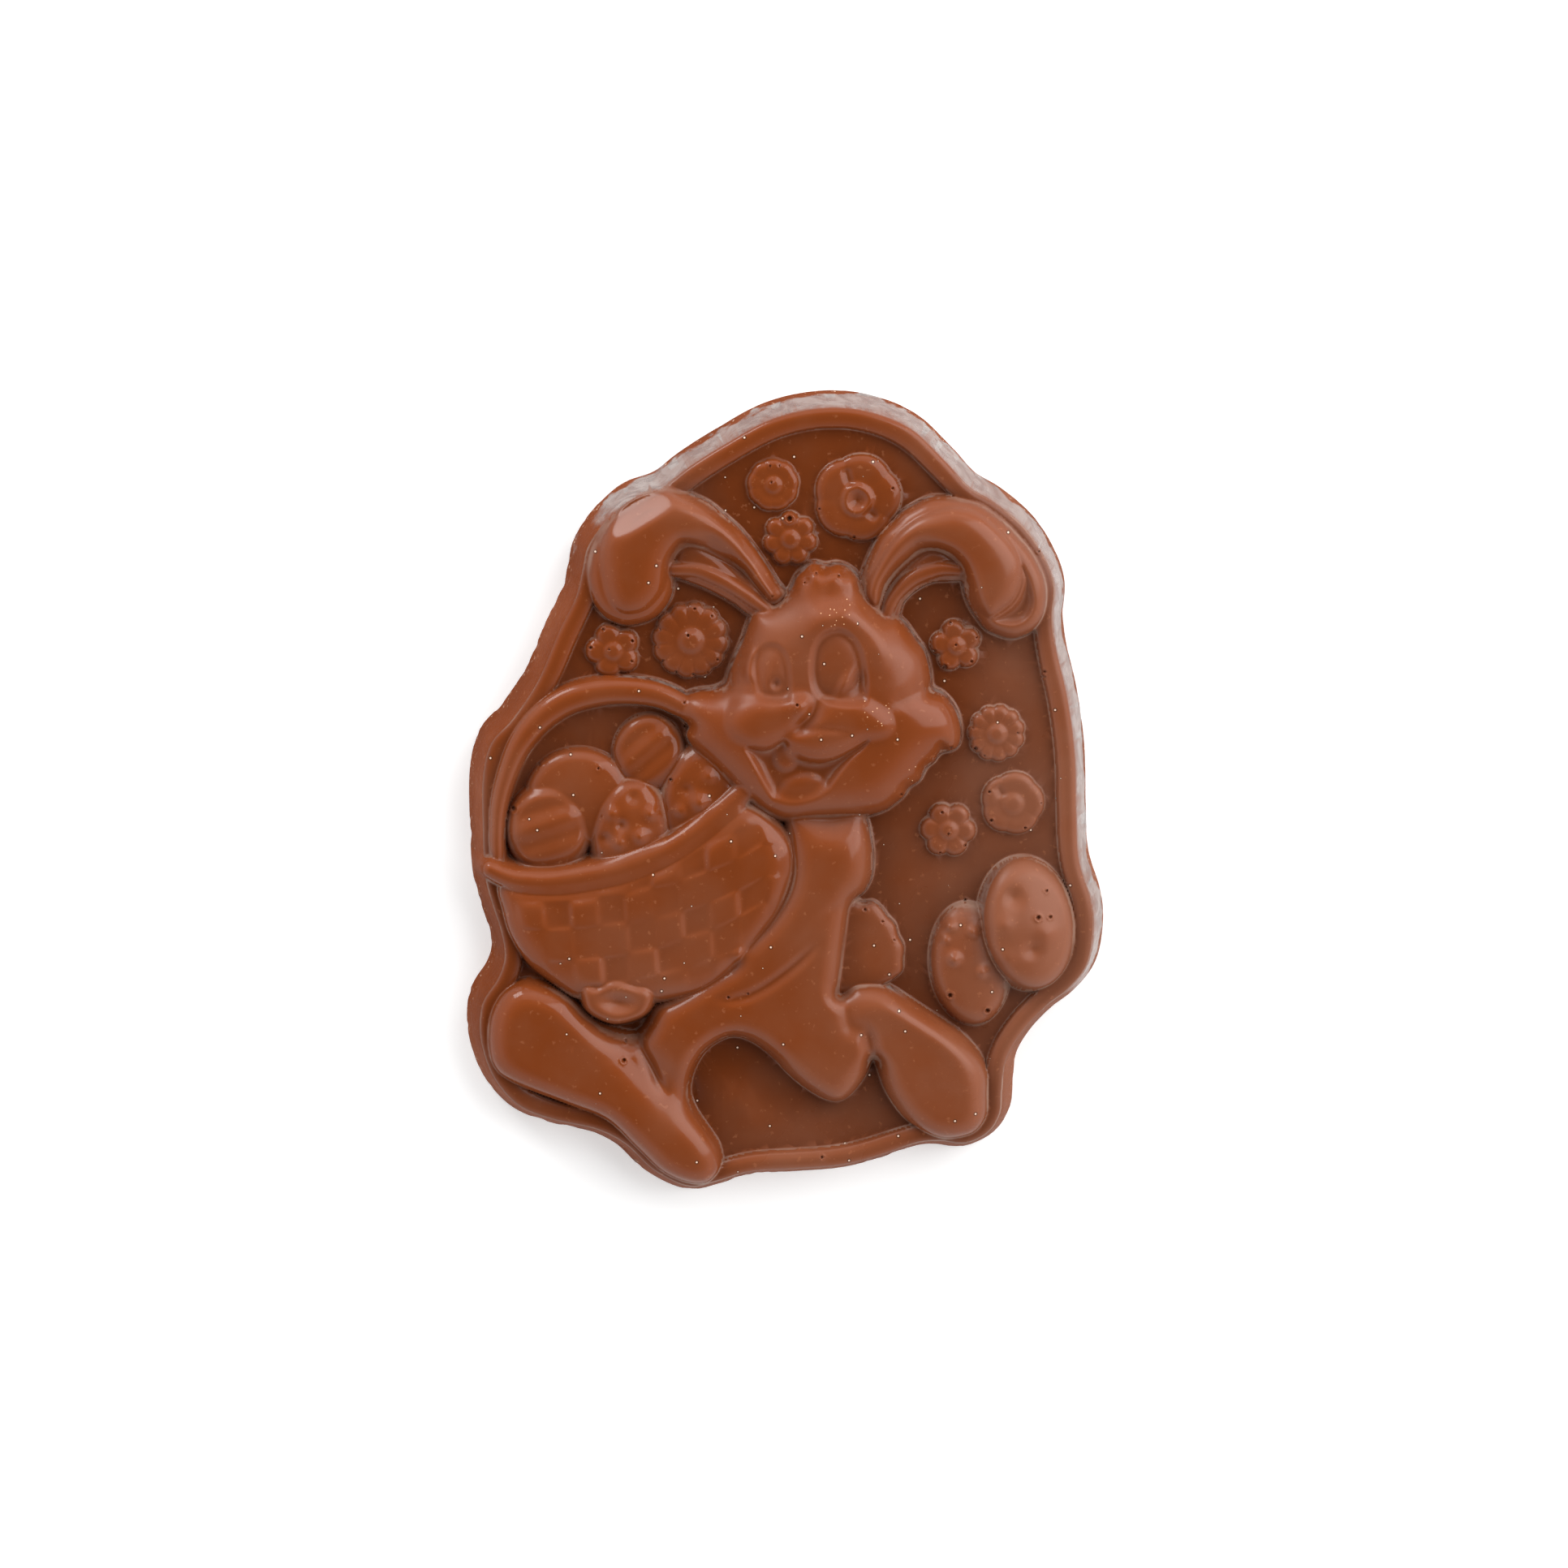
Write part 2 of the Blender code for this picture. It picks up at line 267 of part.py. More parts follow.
class Relief:
    """Heights over the plate's field, built up form by form at fixed points."""

    def __init__(self, x, y):
        self.x, self.y = x, y
        self.height = np.zeros_like(x)

    def near(self, points, margin):
        points = np.atleast_2d(points)
        low, high = points.min(axis=0) - margin, points.max(axis=0) + margin
        found = (self.x > low[0]) & (self.x < high[0]) & (self.y > low[1]) & (self.y < high[1])
        return np.nonzero(found)[0]

    def lay(self, at, height, fillet=FOOT_FILLET):
        """Lays a form over what is there, with a fillet along its foot."""
        gap = np.maximum(fillet - np.abs(self.height[at] - height), 0) / fillet
        self.height[at] = np.maximum(self.height[at], height) + gap**2 * fillet / 4

    def pad(self, outline, side, rise, edge, fillet=FOOT_FILLET, fullness=0.6):
        """A form over a closed outline: a steep side, then a rounded rise, level past the edge width."""
        loop = curve_through(outline)
        at = self.near(loop, 1.5)
        depth = depth_inside(self.x[at], self.y[at], loop)
        top = side + rise * rounded(depth / edge, fullness)
        self.lay(at, top + np.minimum(depth, 0) * SIDE_SLOPE, fillet)

    def swell(self, outline, rise, edge, soft=0.3, fullness=1.0):
        """Raises what is inside a closed outline or, with a negative rise, sinks it, with a soft start."""
        loop = curve_through(outline)
        at = self.near(loop, soft)
        depth = depth_inside(self.x[at], self.y[at], loop)
        depth = np.where(np.abs(depth) < soft, (depth + soft) ** 2 / (4 * soft), np.maximum(depth, 0))
        self.height[at] += rise * rounded(depth / edge, fullness)

    def shave(self, outline, place, heading, level, slope, soft=0.4):
        """Planes a form off to a slant through a place, rising along a heading in degrees."""
        loop = curve_through(outline)
        at = self.near(loop, 0.0)
        depth = depth_inside(self.x[at], self.y[at], loop)
        turn = np.radians(heading)
        along = (self.x[at] - place[0]) * np.cos(turn) + (self.y[at] - place[1]) * np.sin(turn)
        over = self.height[at] - level - slope * along
        over = 0.5 * (over + np.sqrt(over**2 + soft**2))
        self.height[at] -= np.where(along < 6.0, over, 0) * np.clip(depth / 0.5, 0, 1)

    def roll(self, points, radii, side, rise, fillet=FOOT_FILLET):
        """A round-backed roll along a path."""
        path = curve_through(points, closed=False, spacing=0.8)
        path_radii = evenly(radii, np.linspace(0, 1, len(path)))
        at = self.near(path, max(radii) + 1.5)
        distance, along = distance_along(self.x[at], self.y[at], path, path_radii)
        outside = np.maximum(distance - 1, 0) * evenly(radii, along)
        back = np.sqrt(np.maximum(1 - distance**2, 0))
        self.lay(at, evenly(side, along) + evenly(rise, along) * back - outside * SIDE_SLOPE, fillet)

    def line(self, points, width, rise, fade=0.15):
        """A soft ridge or, with a negative rise, a groove along a path, fading out at its ends."""
        path = curve_through(points, closed=False)
        at = self.near(path, 2.5 * width)
        distance, along = distance_along(self.x[at], self.y[at], path, np.full(len(path), width))
        ends = np.clip(np.minimum(along, 1 - along) / fade, 0, 1)
        self.height[at] += rise * np.exp(-distance**2) * ends**2 * (3 - 2 * ends)

    def bump(self, centre, width, length, rise, lean=0.0):
        """A soft bump or, with a negative rise, a dimple."""
        at = self.near(centre, 2.2 * max(width, length))
        u, v = self.turned(at, centre, lean)
        self.height[at] += rise * np.exp(-1.2 * ((u / width) ** 2 + (v / length) ** 2))

    def egg(self, centre, width, length, lean, side, rise, fall=(0, 0)):
        """A domed oval on a steep side, whose top may fall away towards +X and +Y."""
        at = self.near(centre, length + 1.5)
        u, v = self.turned(at, centre, lean)
        share = np.hypot(u / width, v / length)
        depth = (1 - share) * width
        dome = 0.5 * rounded(depth / EGG_SHOULDER, 0.75) + 0.5 * np.maximum(1 - share**2, 0)
        fallen = fall[0] * (self.x[at] - centre[0]) + fall[1] * (self.y[at] - centre[1])
        self.lay(at, side + rise * dome - fallen + np.minimum(depth, 0) * SIDE_SLOPE)

    def turned(self, at, centre, lean):
        c, s = np.cos(np.radians(lean)), np.sin(np.radians(lean))
        dx, dy = self.x[at] - centre[0], self.y[at] - centre[1]
        return dx * c + dy * s, dy * c - dx * s

    def flower(self, centre, radius, petals, turn, height, notch, valley, heart):
        """Petals round a heart: a notched rim, valleys that run in from the notches, and a dome or dimple."""
        at = self.near(centre, radius + 1.5)
        dx, dy = self.x[at] - centre[0], self.y[at] - centre[1]
        reach = np.hypot(dx, dy)
        petal = np.abs(np.cos((np.arctan2(dy, dx) - np.radians(turn)) * petals / 2))
        depth = radius * (1 - notch * (1 - petal)) - reach
        inside = np.minimum(reach / radius, 1)
        top = 0.55 * height * rounded(depth / (0.4 * radius), 0.75) - valley * (1 - petal) ** 2 * inside**2
        top += heart * np.exp(-((inside / 0.3) ** 4)) - PETAL_DISH * np.exp(-((inside / 0.72) ** 6))
        self.lay(at, 0.45 * height + top + np.minimum(depth, 0) * SIDE_SLOPE, 0.4)


def add_border(relief, depth):
    """The convex band round the plate, highest a little way in, with a steep side at its inner edge."""
    outer = 0.5 + 0.5 * rounded(depth / BORDER_CROWN_IN, 0.5)
    run = np.clip((depth - BORDER_CROWN_IN) / (BORDER_WIDTH - BORDER_CROWN_IN), 0, 1)
    inner = 1 - BORDER_FALL * run**2
    band = BORDER_CROWN * np.where(depth < BORDER_CROWN_IN, outer, inner)
    past = np.maximum(depth - BORDER_WIDTH, 0)
    relief.lay(np.arange(len(depth)), band - past * SIDE_SLOPE)


def add_ears(relief):
    relief.pad(LEFT_EAR_HOLLOW, 1.2, 0.9, 2.2)
    relief.roll(LEFT_EAR_RIM, [1.2, 1.35, 1.3, 1.1], 1.2, 1.4)
    relief.pad(LEFT_EAR, 0.9, 2.2, 2.4, fullness=0.75)
    relief.swell(LEFT_EAR_FRONT, 2.0, 4.6, fullness=0.85)
    relief.shave(LEFT_EAR, (-21.0, 43.9), -60, 2.2, 0.84)
    relief.line(LEFT_EAR_TROUGH, 1.5, -1.0, 0.3)
    relief.pad(RIGHT_EAR_HOLLOW, 1.2, 0.9, 2.2)
    relief.roll(RIGHT_EAR_RIM, [1.1, 1.35, 1.35, 1.1], 1.2, 1.4)
    relief.pad(RIGHT_EAR, 0.9, 2.4, 2.4, fullness=0.75)
    relief.swell(RIGHT_EAR_FRONT, 1.8, 3.6, 0.2, 0.85)
    relief.swell(RIGHT_EAR_CUP, -1.1, 1.4)
    relief.line(RIGHT_EAR_TROUGH, 1.5, -1.0, 0.3)


def add_body(relief):
    relief.pad(TAIL, 1.0, 1.0, 1.8)
    relief.pad(BODY_AND_LEGS, 1.0, 3.6, 3.6, fullness=0.65)
    relief.line(LEG_SLOPE, 3.0, -1.5, 0.35)
    relief.line(RIGHT_LEG_RIDGE, 1.6, 0.45, 0.35)
    relief.line(THIGH_FOLD, 1.5, -0.6, 0.4)
    relief.line(THIGH_CREASE, 1.3, -1.1, 0.4)
    relief.line(LEG_GROOVE, 0.8, -0.7, 0.3)
    relief.pad(ARM, 1.4, 3.6, 4.4, fullness=0.75)
    relief.line(ARM_EDGE, 0.9, -0.55, 0.3)
    relief.bump((7.0, -3.2), 5.0, 3.2, -1.2)


def add_basket(relief):
    for centre, width, length, lean, side, rise in BASKET_EGGS:
        relief.egg(centre, width, length, lean, side, rise)
    relief.pad(BASKET, 1.7, 3.2, 4.6)
    relief.roll(BASKET_HANDLE, [1.2, 1.25, 1.4, 1.6, 1.9, 2.1, 2.15, 2.1, 2.0, 1.8], 1.0, 1.9)
    relief.roll(BASKET_RIM, [1.5, 1.9, 2.1, 2.1, 2.1, 2.0, 1.9, 1.7, 1.4],
                [2.4, 2.8, 2.9, 2.9, 2.9, 2.8, 2.6, 2.2], [2.0, 2.0, 2.0, 2.0, 1.6, 1.0], 1.4)
    relief.bump((-6.9, -23.1), 1.0, 1.3, 0.7, -45)
    relief.pad(FAR_HAND, 3.7, 1.7, 1.5)
    relief.bump((-24.8, -30.1), 2.9, 1.5, -1.0, -10)


def add_loose_eggs(relief):
    for centre, width, length, lean, side, rise, fall in LOOSE_EGGS:
        relief.egg(centre, width, length, lean, side, rise, fall)


def add_head(relief):
    relief.pad(HEAD, 1.5, 4.8, 7.0, 0.6, 0.75)
    for eye, edge in ((LEFT_EYE, 2.4), (RIGHT_EYE, 3.4)):
        relief.swell(eye, -1.1, 1.2, 0.45)
        relief.swell(eye, 0.9, edge, 0.5)
    relief.bump((-1.5, 17.4), 0.8, 0.9, -0.6)
    relief.bump((10.6, 17.6), 0.9, 1.6, -0.5, -15)
    relief.bump((8.4, 17.4), 0.8, 2.2, 0.5, -28)
    relief.line(EYE_LID, 0.7, 0.5, 0.3)
    relief.line(BROW, 2.0, 0.8, 0.3)
    relief.swell(MOUTH, -1.8, 1.9, 0.5)
    relief.swell(LEFT_CHEEK, 1.2, 2.8, 0.7)
    relief.swell(RIGHT_CHEEK, 1.3, 3.2, 0.7)
    relief.line(LIP_FOLD, 0.7, -0.25, 0.3)
    relief.line(PHILTRUM, 1.0, -0.4, 0.4)
    relief.bump((1.9, 14.4), 2.0, 1.9, 0.8)
    relief.swell(TOOTH, 0.8, 1.8, 0.4)
    relief.swell(TONGUE, 0.9, 2.2, 0.4)
    relief.line(CHEEK_CREASE, 1.4, -0.5, 0.4)
    relief.line(FUR_NOTCH, 0.8, -0.5, 0.4)


def add_flowers(relief):
    for flower in FLOWERS:
        relief.flower(*flower)
    for fold in PETAL_FOLDS:
        relief.line(fold, 0.7, -0.4, 0.3)
    relief.line(HEART_RING, 0.6, 0.5, 0.25)


def relief_height(x, y, depth):
    relief = Relief(x, y)
    add_border(relief, depth)
    for add in (add_ears, add_body, add_basket, add_loose_eggs, add_head, add_flowers):
        add(relief)
    return FIELD_THICKNESS + relief.height


class PlateEdge:
    """The plate's top edge as a closed curve that can be read at any distance along it."""

    def __init__(self):
        self.points = curve_through(PLATE_EDGE, spacing=0.8)
        ahead, behind = np.roll(self.points, -1, axis=0), np.roll(self.points, 1, axis=0)
        steps = np.linalg.norm(ahead - self.points, axis=1)
        self.along = np.concatenate([[0], np.cumsum(steps)])
        tangent = ahead - behind
        tangent /= np.linalg.norm(tangent, axis=1)[:, None]
        self.outward = np.stack([-tangent[:, 1], tangent[:, 0]], axis=1)

    def read(self, values, along):
        closed = np.vstack([values, values[:1]])
        along = np.mod(along, self.along[-1])
        return np.stack([np.interp(along, self.along, closed[:, i]) for i in (0, 1)], axis=1)

    def nearest(self, x, y):
        gaps = np.hypot(self.points[:, 0][None] - x[:, None], self.points[:, 1][None] - y[:, None])
        return self.along[:-1][gaps.argmin(axis=1)]


def grid_over(edge):
    """A flat square grid over the plate, cut back to the cells well inside its edge."""
    low, high = edge.points.min(axis=0), edge.points.max(axis=0)
    middle, half = (low + high) / 2, (high - low) / 2 + GRID_PITCH
    cells = np.ceil(2 * half / GRID_PITCH).astype(int)
    place = Matrix.Translation((*middle, 0)) @ Matrix.Diagonal((*half, 1, 1))
    sheet = bmesh.new()
    bmesh.ops.create_grid(sheet, x_segments=int(cells[0]), y_segments=int(cells[1]), size=1, matrix=place)
    points = np.array([vertex.co.xy for vertex in sheet.verts])
    depth = depth_inside(points[:, 0], points[:, 1], edge.points)
    outside = [v for v, d in zip(sheet.verts, depth) if d < EDGE_CLEARANCE * GRID_PITCH]
    bmesh.ops.delete(sheet, geom=outside, context="VERTS")
    while True:
        spurs = [v for v in sheet.verts if not v.link_faces or sum(e.is_boundary for e in v.link_edges) > 2]
        if not spurs:
            return sheet
        bmesh.ops.delete(sheet, geom=spurs, context="VERTS")


def ordered_loop(vertices, edges):
    """The vertices of one closed run of edges, in order and anticlockwise."""
    edges = set(edges)
    loop = [vertices[0]]
    previous = None
    while True:
        step = next(e for e in loop[-1].link_edges if e in edges and e is not previous)
        following = step.other_vert(loop[-1])
        if following is loop[0]:
            break
        loop.append(following)
        previous = step
    x, y = np.array([v.co.xy for v in loop]).T
    if np.sum(x * np.roll(y, -1) - y * np.roll(x, -1)) < 0:
        loop.reverse()
    return loop


def grow_to_edge(sheet, edge):
    """Extrudes the grid's border to the plate's edge, evenly spaced, and relaxes the cells near it."""
    grown = bmesh.ops.extrude_edge_only(sheet, edges=[e for e in sheet.edges if e.is_boundary])["geom"]
    vertices = [g for g in grown if isinstance(g, bmesh.types.BMVert)]
    loop = ordered_loop(vertices, [g for g in grown if isinstance(g, bmesh.types.BMEdge) and g.is_boundary])
    places = np.array([v.co.xy for v in loop])
    length = edge.along[-1]
    along = edge.nearest(places[:, 0], places[:, 1])
    steps = np.mod(np.diff(along, append=along[:1]) + length / 2, length) - length / 2
    even = np.sign(steps.sum()) * np.arange(len(loop)) * length / len(loop)
    drift = along[0] + np.concatenate([[0], np.cumsum(steps[:-1])]) - even
    for _ in range(EVENING_PASSES):
        drift = (np.roll(drift, 1) + drift + np.roll(drift, -1)) / 3
    along = drift + even
    for vertex, place in zip(loop, edge.read(edge.points, along)):
        vertex.co = (*place, 0)
    near = set(loop)
    for _ in range(RELAXED_RINGS):
        near |= {e.other_vert(v) for v in near for e in v.link_edges}
    inner = list(near - set(loop))
    for _ in range(RELAXING_PASSES):
        bmesh.ops.smooth_vert(sheet, verts=inner, factor=0.5, use_axis_x=True, use_axis_y=True)
    return loop, along


def raise_relief(sheet, edge):
    """Lifts every point of the flat sheet to the height of the relief there."""
    points = np.array([vertex.co.xy for vertex in sheet.verts])
    depth = np.maximum(depth_inside(points[:, 0], points[:, 1], edge.points), 0)
    for vertex, height in zip(sheet.verts, relief_height(points[:, 0], points[:, 1], depth)):
        vertex.co.z = height


def add_wall(sheet, edge, loop, along):
    """Extrudes the plate's edge down its drafted side to the flat back."""
    outward = edge.read(edge.outward, along)
    tops = np.array([vertex.co for vertex in loop])
    for ring in range(1, WALL_RINGS + 1):
        share = ring / WALL_RINGS
        grown = bmesh.ops.extrude_edge_only(sheet, edges=[e for e in sheet.edges if e.is_boundary])["geom"]
        made = {g for g in grown if isinstance(g, bmesh.types.BMVert)}
        loop = [next(e.other_vert(v) for e in v.link_edges if e.other_vert(v) in made) for v in loop]
        for vertex, top, out in zip(loop, tops, outward):
            vertex.co = (*(top[:2] + share * WALL_DRAFT * out), (1 - share) * top[2])


def simplified(sheet):
    """The sheet as a mesh with fewer triangles, more of them where the relief bends."""
    mesh = bpy.data.meshes.new("fine_relief")
    sheet.to_mesh(mesh)
    sheet.free()
    fine = bpy.data.objects.new("fine_relief", mesh)
    bpy.context.scene.collection.objects.link(fine)
    decimate = fine.modifiers.new("simplify", "DECIMATE")
    mesh.calc_loop_triangles()
    decimate.ratio = TRIANGLES / len(mesh.loop_triangles)
    found = fine.evaluated_get(bpy.context.evaluated_depsgraph_get())
    coarse = bmesh.new()
    coarse.from_mesh(found.to_mesh())
    found.to_mesh_clear()
    bpy.data.objects.remove(fine)
    bpy.data.meshes.remove(mesh)
    return coarse


def seal_back(body):
    """Closes the open underside with one flat face, centres the footprint, and goes to metres."""
    rim = [e for e in body.edges if e.is_boundary]
    for vertex in {v for e in rim for v in e.verts}:
        vertex.co.z = 0
    bmesh.ops.holes_fill(body, edges=rim, sides=0)
    bmesh.ops.triangulate(body, faces=body.faces[:])
    bmesh.ops.recalc_face_normals(body, faces=body.faces[:])
    points = np.array([vertex.co.xy for vertex in body.verts])
    middle = (points.min(axis=0) + points.max(axis=0)) / 2
    centred = Matrix.Scale(MM, 4) @ Matrix.Translation((-middle[0], -middle[1], 0))
    bmesh.ops.transform(body, matrix=centred, verts=body.verts[:])


def chocolate():
    material = bpy.data.materials.new("milk_chocolate")
    material.use_nodes = True
    shader = material.node_tree.nodes["Principled BSDF"]
    shader.inputs["Base Color"].default_value = (*CHOCOLATE_COLOUR, 1)
    shader.inputs["Roughness"].default_value = CHOCOLATE_ROUGHNESS
    shader.inputs["Metallic"].default_value = 0
    material.diffuse_color = (*CHOCOLATE_COLOUR, 1)
    return material


def build():
    for thing in list(bpy.data.objects):
        bpy.data.objects.remove(thing)
    edge = PlateEdge()
    sheet = grid_over(edge)
    loop, along = grow_to_edge(sheet, edge)
    raise_relief(sheet, edge)
    add_wall(sheet, edge, loop, along)
    body = simplified(sheet)
    seal_back(body)
    mesh = bpy.data.meshes.new("chocolate_bunny")
    body.to_mesh(mesh)
    body.free()
    mesh.shade_smooth()
    mesh.set_sharp_from_angle(angle=SHARP_ANGLE)
    mesh.materials.append(chocolate())
    home = bpy.data.collections.new("chocolate_bunny")
    bpy.context.scene.collection.children.link(home)
    home.objects.link(bpy.data.objects.new("chocolate_bunny", mesh))


build()
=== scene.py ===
import bmesh
import bpy
import numpy as np
from mathutils import Matrix, Vector
from mathutils.noise import noise as noise_at


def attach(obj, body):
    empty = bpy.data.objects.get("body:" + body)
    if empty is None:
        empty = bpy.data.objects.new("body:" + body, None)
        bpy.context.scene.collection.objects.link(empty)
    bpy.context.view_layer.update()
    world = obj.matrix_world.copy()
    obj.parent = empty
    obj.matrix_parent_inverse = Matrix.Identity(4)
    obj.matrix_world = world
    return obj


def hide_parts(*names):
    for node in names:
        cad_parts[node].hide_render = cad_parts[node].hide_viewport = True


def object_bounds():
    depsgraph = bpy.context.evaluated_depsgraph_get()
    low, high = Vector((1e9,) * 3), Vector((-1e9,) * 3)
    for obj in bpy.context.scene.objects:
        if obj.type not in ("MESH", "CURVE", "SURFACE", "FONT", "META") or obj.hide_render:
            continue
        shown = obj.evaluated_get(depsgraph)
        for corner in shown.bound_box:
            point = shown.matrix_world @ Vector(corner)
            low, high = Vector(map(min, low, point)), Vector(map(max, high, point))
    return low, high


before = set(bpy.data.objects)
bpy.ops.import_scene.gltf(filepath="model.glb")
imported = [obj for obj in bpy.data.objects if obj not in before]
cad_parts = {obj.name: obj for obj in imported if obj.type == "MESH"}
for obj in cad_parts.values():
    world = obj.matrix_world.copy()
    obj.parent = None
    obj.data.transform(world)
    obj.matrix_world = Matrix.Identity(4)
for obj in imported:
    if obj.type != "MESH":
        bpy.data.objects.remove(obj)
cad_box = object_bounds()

MM = 0.001


def rows(*numbers, each=2):
    """Numbers in equal rows: points, as X and Y in millimetres, unless a row holds more."""
    return np.reshape(numbers, (-1, each))


def placed(name, data):
    """A new object in the scene, at the origin and unturned."""
    made = bpy.data.objects.new(name, data)
    bpy.context.scene.collection.objects.link(made)
    return made


def as_mesh(name, sheet):
    mesh = bpy.data.meshes.new(name)
    sheet.to_mesh(mesh)
    sheet.free()
    return mesh


# View: the plaque lies flat and the camera looks down on it, a little from beyond the head
LENS_MM = 85.0
CAMERA_DISTANCE = 0.555
CAMERA_LEAN = Vector((-0.035, 0.15, 1.0))
CAMERA_TARGET = Vector((-0.0002, 0.00174, 0.0))

# Plate and forms, in millimetres
FIELD_THICKNESS = 6.4
BORDER_CROWN = 1.5
BORDER_WIDTH = 2.7
BORDER_CROWN_IN = 1.2
BORDER_FALL = 0.3
WALL_DRAFT = 2.2
SIDE_SLOPE = 3.5
FOOT_FILLET = 0.4
FORM_MARGIN = 1.5
SHAVE_REACH = 6.0
SHAVE_EDGE = 0.5
EGG_SHOULDER = 1.9
PETAL_DISH = 0.28

# Reaches in widths of a form, and the shares of a flower's height and radius that its parts take
LINE_REACH = 2.5
BUMP_REACH = 2.2
BUMP_FALL = 1.2
PETAL_SIDE = 0.45
PETAL_RISE = 0.55
PETAL_SHOULDER = 0.4
HEART_REACH = 0.3
DISH_REACH = 0.72

# Fineness of the mesh (pitch in millimetres, angle in radians)
GRID_PITCH = 0.2
EDGE_CLEARANCE = 0.62
EVENING_PASSES = 120
RELAXED_RINGS = 6
RELAXING_PASSES = 20
WALL_RINGS = 12
TRIANGLES = 196000
SHARP_ANGLE = 1.2

# Light: the room's brightness by height of direction (0 level, 1 overhead), and the soft boxes (place and
# size in metres, power in watts)
ROOM_RING = [(0.0, 0.95), (0.1, 0.98), (0.5, 0.9), (0.72, 0.4), (0.9, 0.1), (1.0, 0.06)]
ROOM_STRENGTH = 1.35
SOFT_BOXES = [
    ("key_light", (0.89, 0.51, 0.8), (1.05, 1.15), 13.5),
    ("head_light", (0.1, 1.1, 0.85), (1.3, 0.9), 3.0),
    ("left_light", (-0.615, 0.96, 0.378), (0.4, 0.4), 5.5)]

# Table: half its size, how much it glows, its two whites and the size of their mottle
FLOOR_HALF = 1.5
FLOOR_GLOW = 0.3
FLOOR_ROUGHNESS = 0.6
FLOOR_WHITES = (0.84, 0.84, 0.84), (0.88, 0.88, 0.88)
FLOOR_MOTTLE = 30.0

# Colour: a full brown, a paler one for the painted sheen, and what lies on them, mostly painted light and
# shade
FULL_BROWN = (0.169, 0.0365, 0.008)
SHEEN_BROWN = (0.192, 0.063, 0.03)
GRAIN_HIGHLIGHT_TAN = (0.4, 0.15, 0.07)
PORE_SHADE = (0.05, 0.015, 0.006)
PORE_GLINT = (0.85, 0.62, 0.48)
SPARKLE_LIGHT = (0.85, 0.5, 0.28)
FOOT_HIGHLIGHT_GREY = (0.4, 0.27, 0.21)
WALL_SHADE = (0.05, 0.028, 0.02)
WALL_REFLECTION_GREY = (0.5, 0.43, 0.39)
FLAKE_TAN = (0.62, 0.42, 0.3)

# Colour: painted light and shade, paler on slopes as painted light and darker down in the grooves as painted
# shade, each as a share of twice the colour, and four times for the two together
LEAN_PAINTED_LIGHT = [(0.0, 0.5), (0.04, 0.575), (0.15, 0.61), (0.45, 0.52), (1.0, 0.5)]
SUNK_PAINTED_SHADE = [(0.0, 0.54), (0.4, 0.52), (0.5, 0.5), (0.62, 0.42), (0.8, 0.36), (1.0, 0.33)]
LIGHT_AND_SHADE_FULL = 4.0

# Depth in the grooves: two sizes of cell and their shares, their reach, the full range, and how upright the
# normal of a top is
SUNK_CELLS = [(0.0003, 0.6), (0.0012, 0.6)]
SUNK_REACH = 4
SUNK_RANGE = 0.004
TOP_UPRIGHT = 0.4

# Patterns: scale, detail, roughness and distortion
CLOUD = 60.0, 4.0, 0.55
PATCHES = 110.0, 4.0, 0.6
FOOT_HIGHLIGHT_BREAKUP = 150.0, 3.0, 0.6
WALL_REFLECTION_PATCHES = 260.0, 4.0, 0.6, 1.5
GRAIN = 900.0, 3.0, 0.6
FLAKES = 1400.0, 4.0, 0.7
FINE = 3500.0, 2.0, 0.6

# Where each finish, painted highlight, painted reflection and painted sheen starts or stops, and how steeply:
# by lean (0 level, 1 upright), by depth in a groove (0.5 for none), by pattern, or by place in metres
WALL_FROM = 0.6, 6.0
FOOT_FROM = 0.15, 6.0
FOOT_UNTIL = 0.85, 6.0
GROOVE_FROM = 0.56, 12.0
PORES_UNTIL = 0.5, 8.0
CRUMBS_FROM = 0.45, 8.0
GRAIN_FROM = 0.64, 4.0
WALL_REFLECTION_FROM = 0.38, 5.0
FLAKES_FROM = 0.6, 9.0
FLAKES_BELOW = 0.003, 700.0
SHEEN_FROM = 0.022, 90.0

# Painted sheen and shine: a paler painted sheen everywhere, more to the right and towards the feet, less on
# the face, with random clouds in it; duller at two spots
SHEEN = 0.22
SHEEN_SLOPE = 3.0
SHEEN_RIGHT = 0.5
SHEEN_CLOUDS = 2.0
FACE_CENTRE = (0.007, 0.014, 0.012)
FACE_REACH = 0.02133, 75.0
FACE_CLEARER = 0.15
FACE_MATT = 0.09
MATT_SPOTS = [(0.001, 0.0275, 0.011), (-0.0075, 0.0152, 0.011)]
MATT_REACH = 0.01, 160.0
SPOT_MATT = 0.16
SHINE = 0.07
CLOUD_MATT = 0.07
GRAIN_MATT = 0.03
SHEEN_MATT = 0.25

# How much of each finish, painted highlight and painted shade shows where it is full, and where the painted
# highlight at the feet gathers
GRAIN_MOST = 0.25
PORE_SHADE_SHARE = 0.7
FOOT_HIGHLIGHT = 0.42
FOOT_HIGHLIGHT_FROM = 0.3, 3.0
FOOT_HIGHLIGHT_RIGHT = 8.0
FOOT_HIGHLIGHT_LEAST = 0.25
WALL_SHADE_SHARE = 0.75
WALL_COAT = 0.6
WALL_REFLECTION_SHARE = 0.35
DRY_SHADES = 0.6, 0.8

# The two shaders' own settings, and what coarse and fine grain add to the pitting of the smooth one
GRAIN_BUMP = {"Strength": 0.04, "Distance": 0.00006}
CRUMB_BUMP = {"Strength": 0.4, "Distance": 0.0002}
SMOOTH_SHINE = {"IOR": 1.5, "Specular_IOR_Level": 0.22, "Coat_Roughness": 0.12}
CRUMB_SHINE = {"Roughness": 0.5, "Specular_IOR_Level": 0.02}
PIT_SHARES = 0.6, 0.4
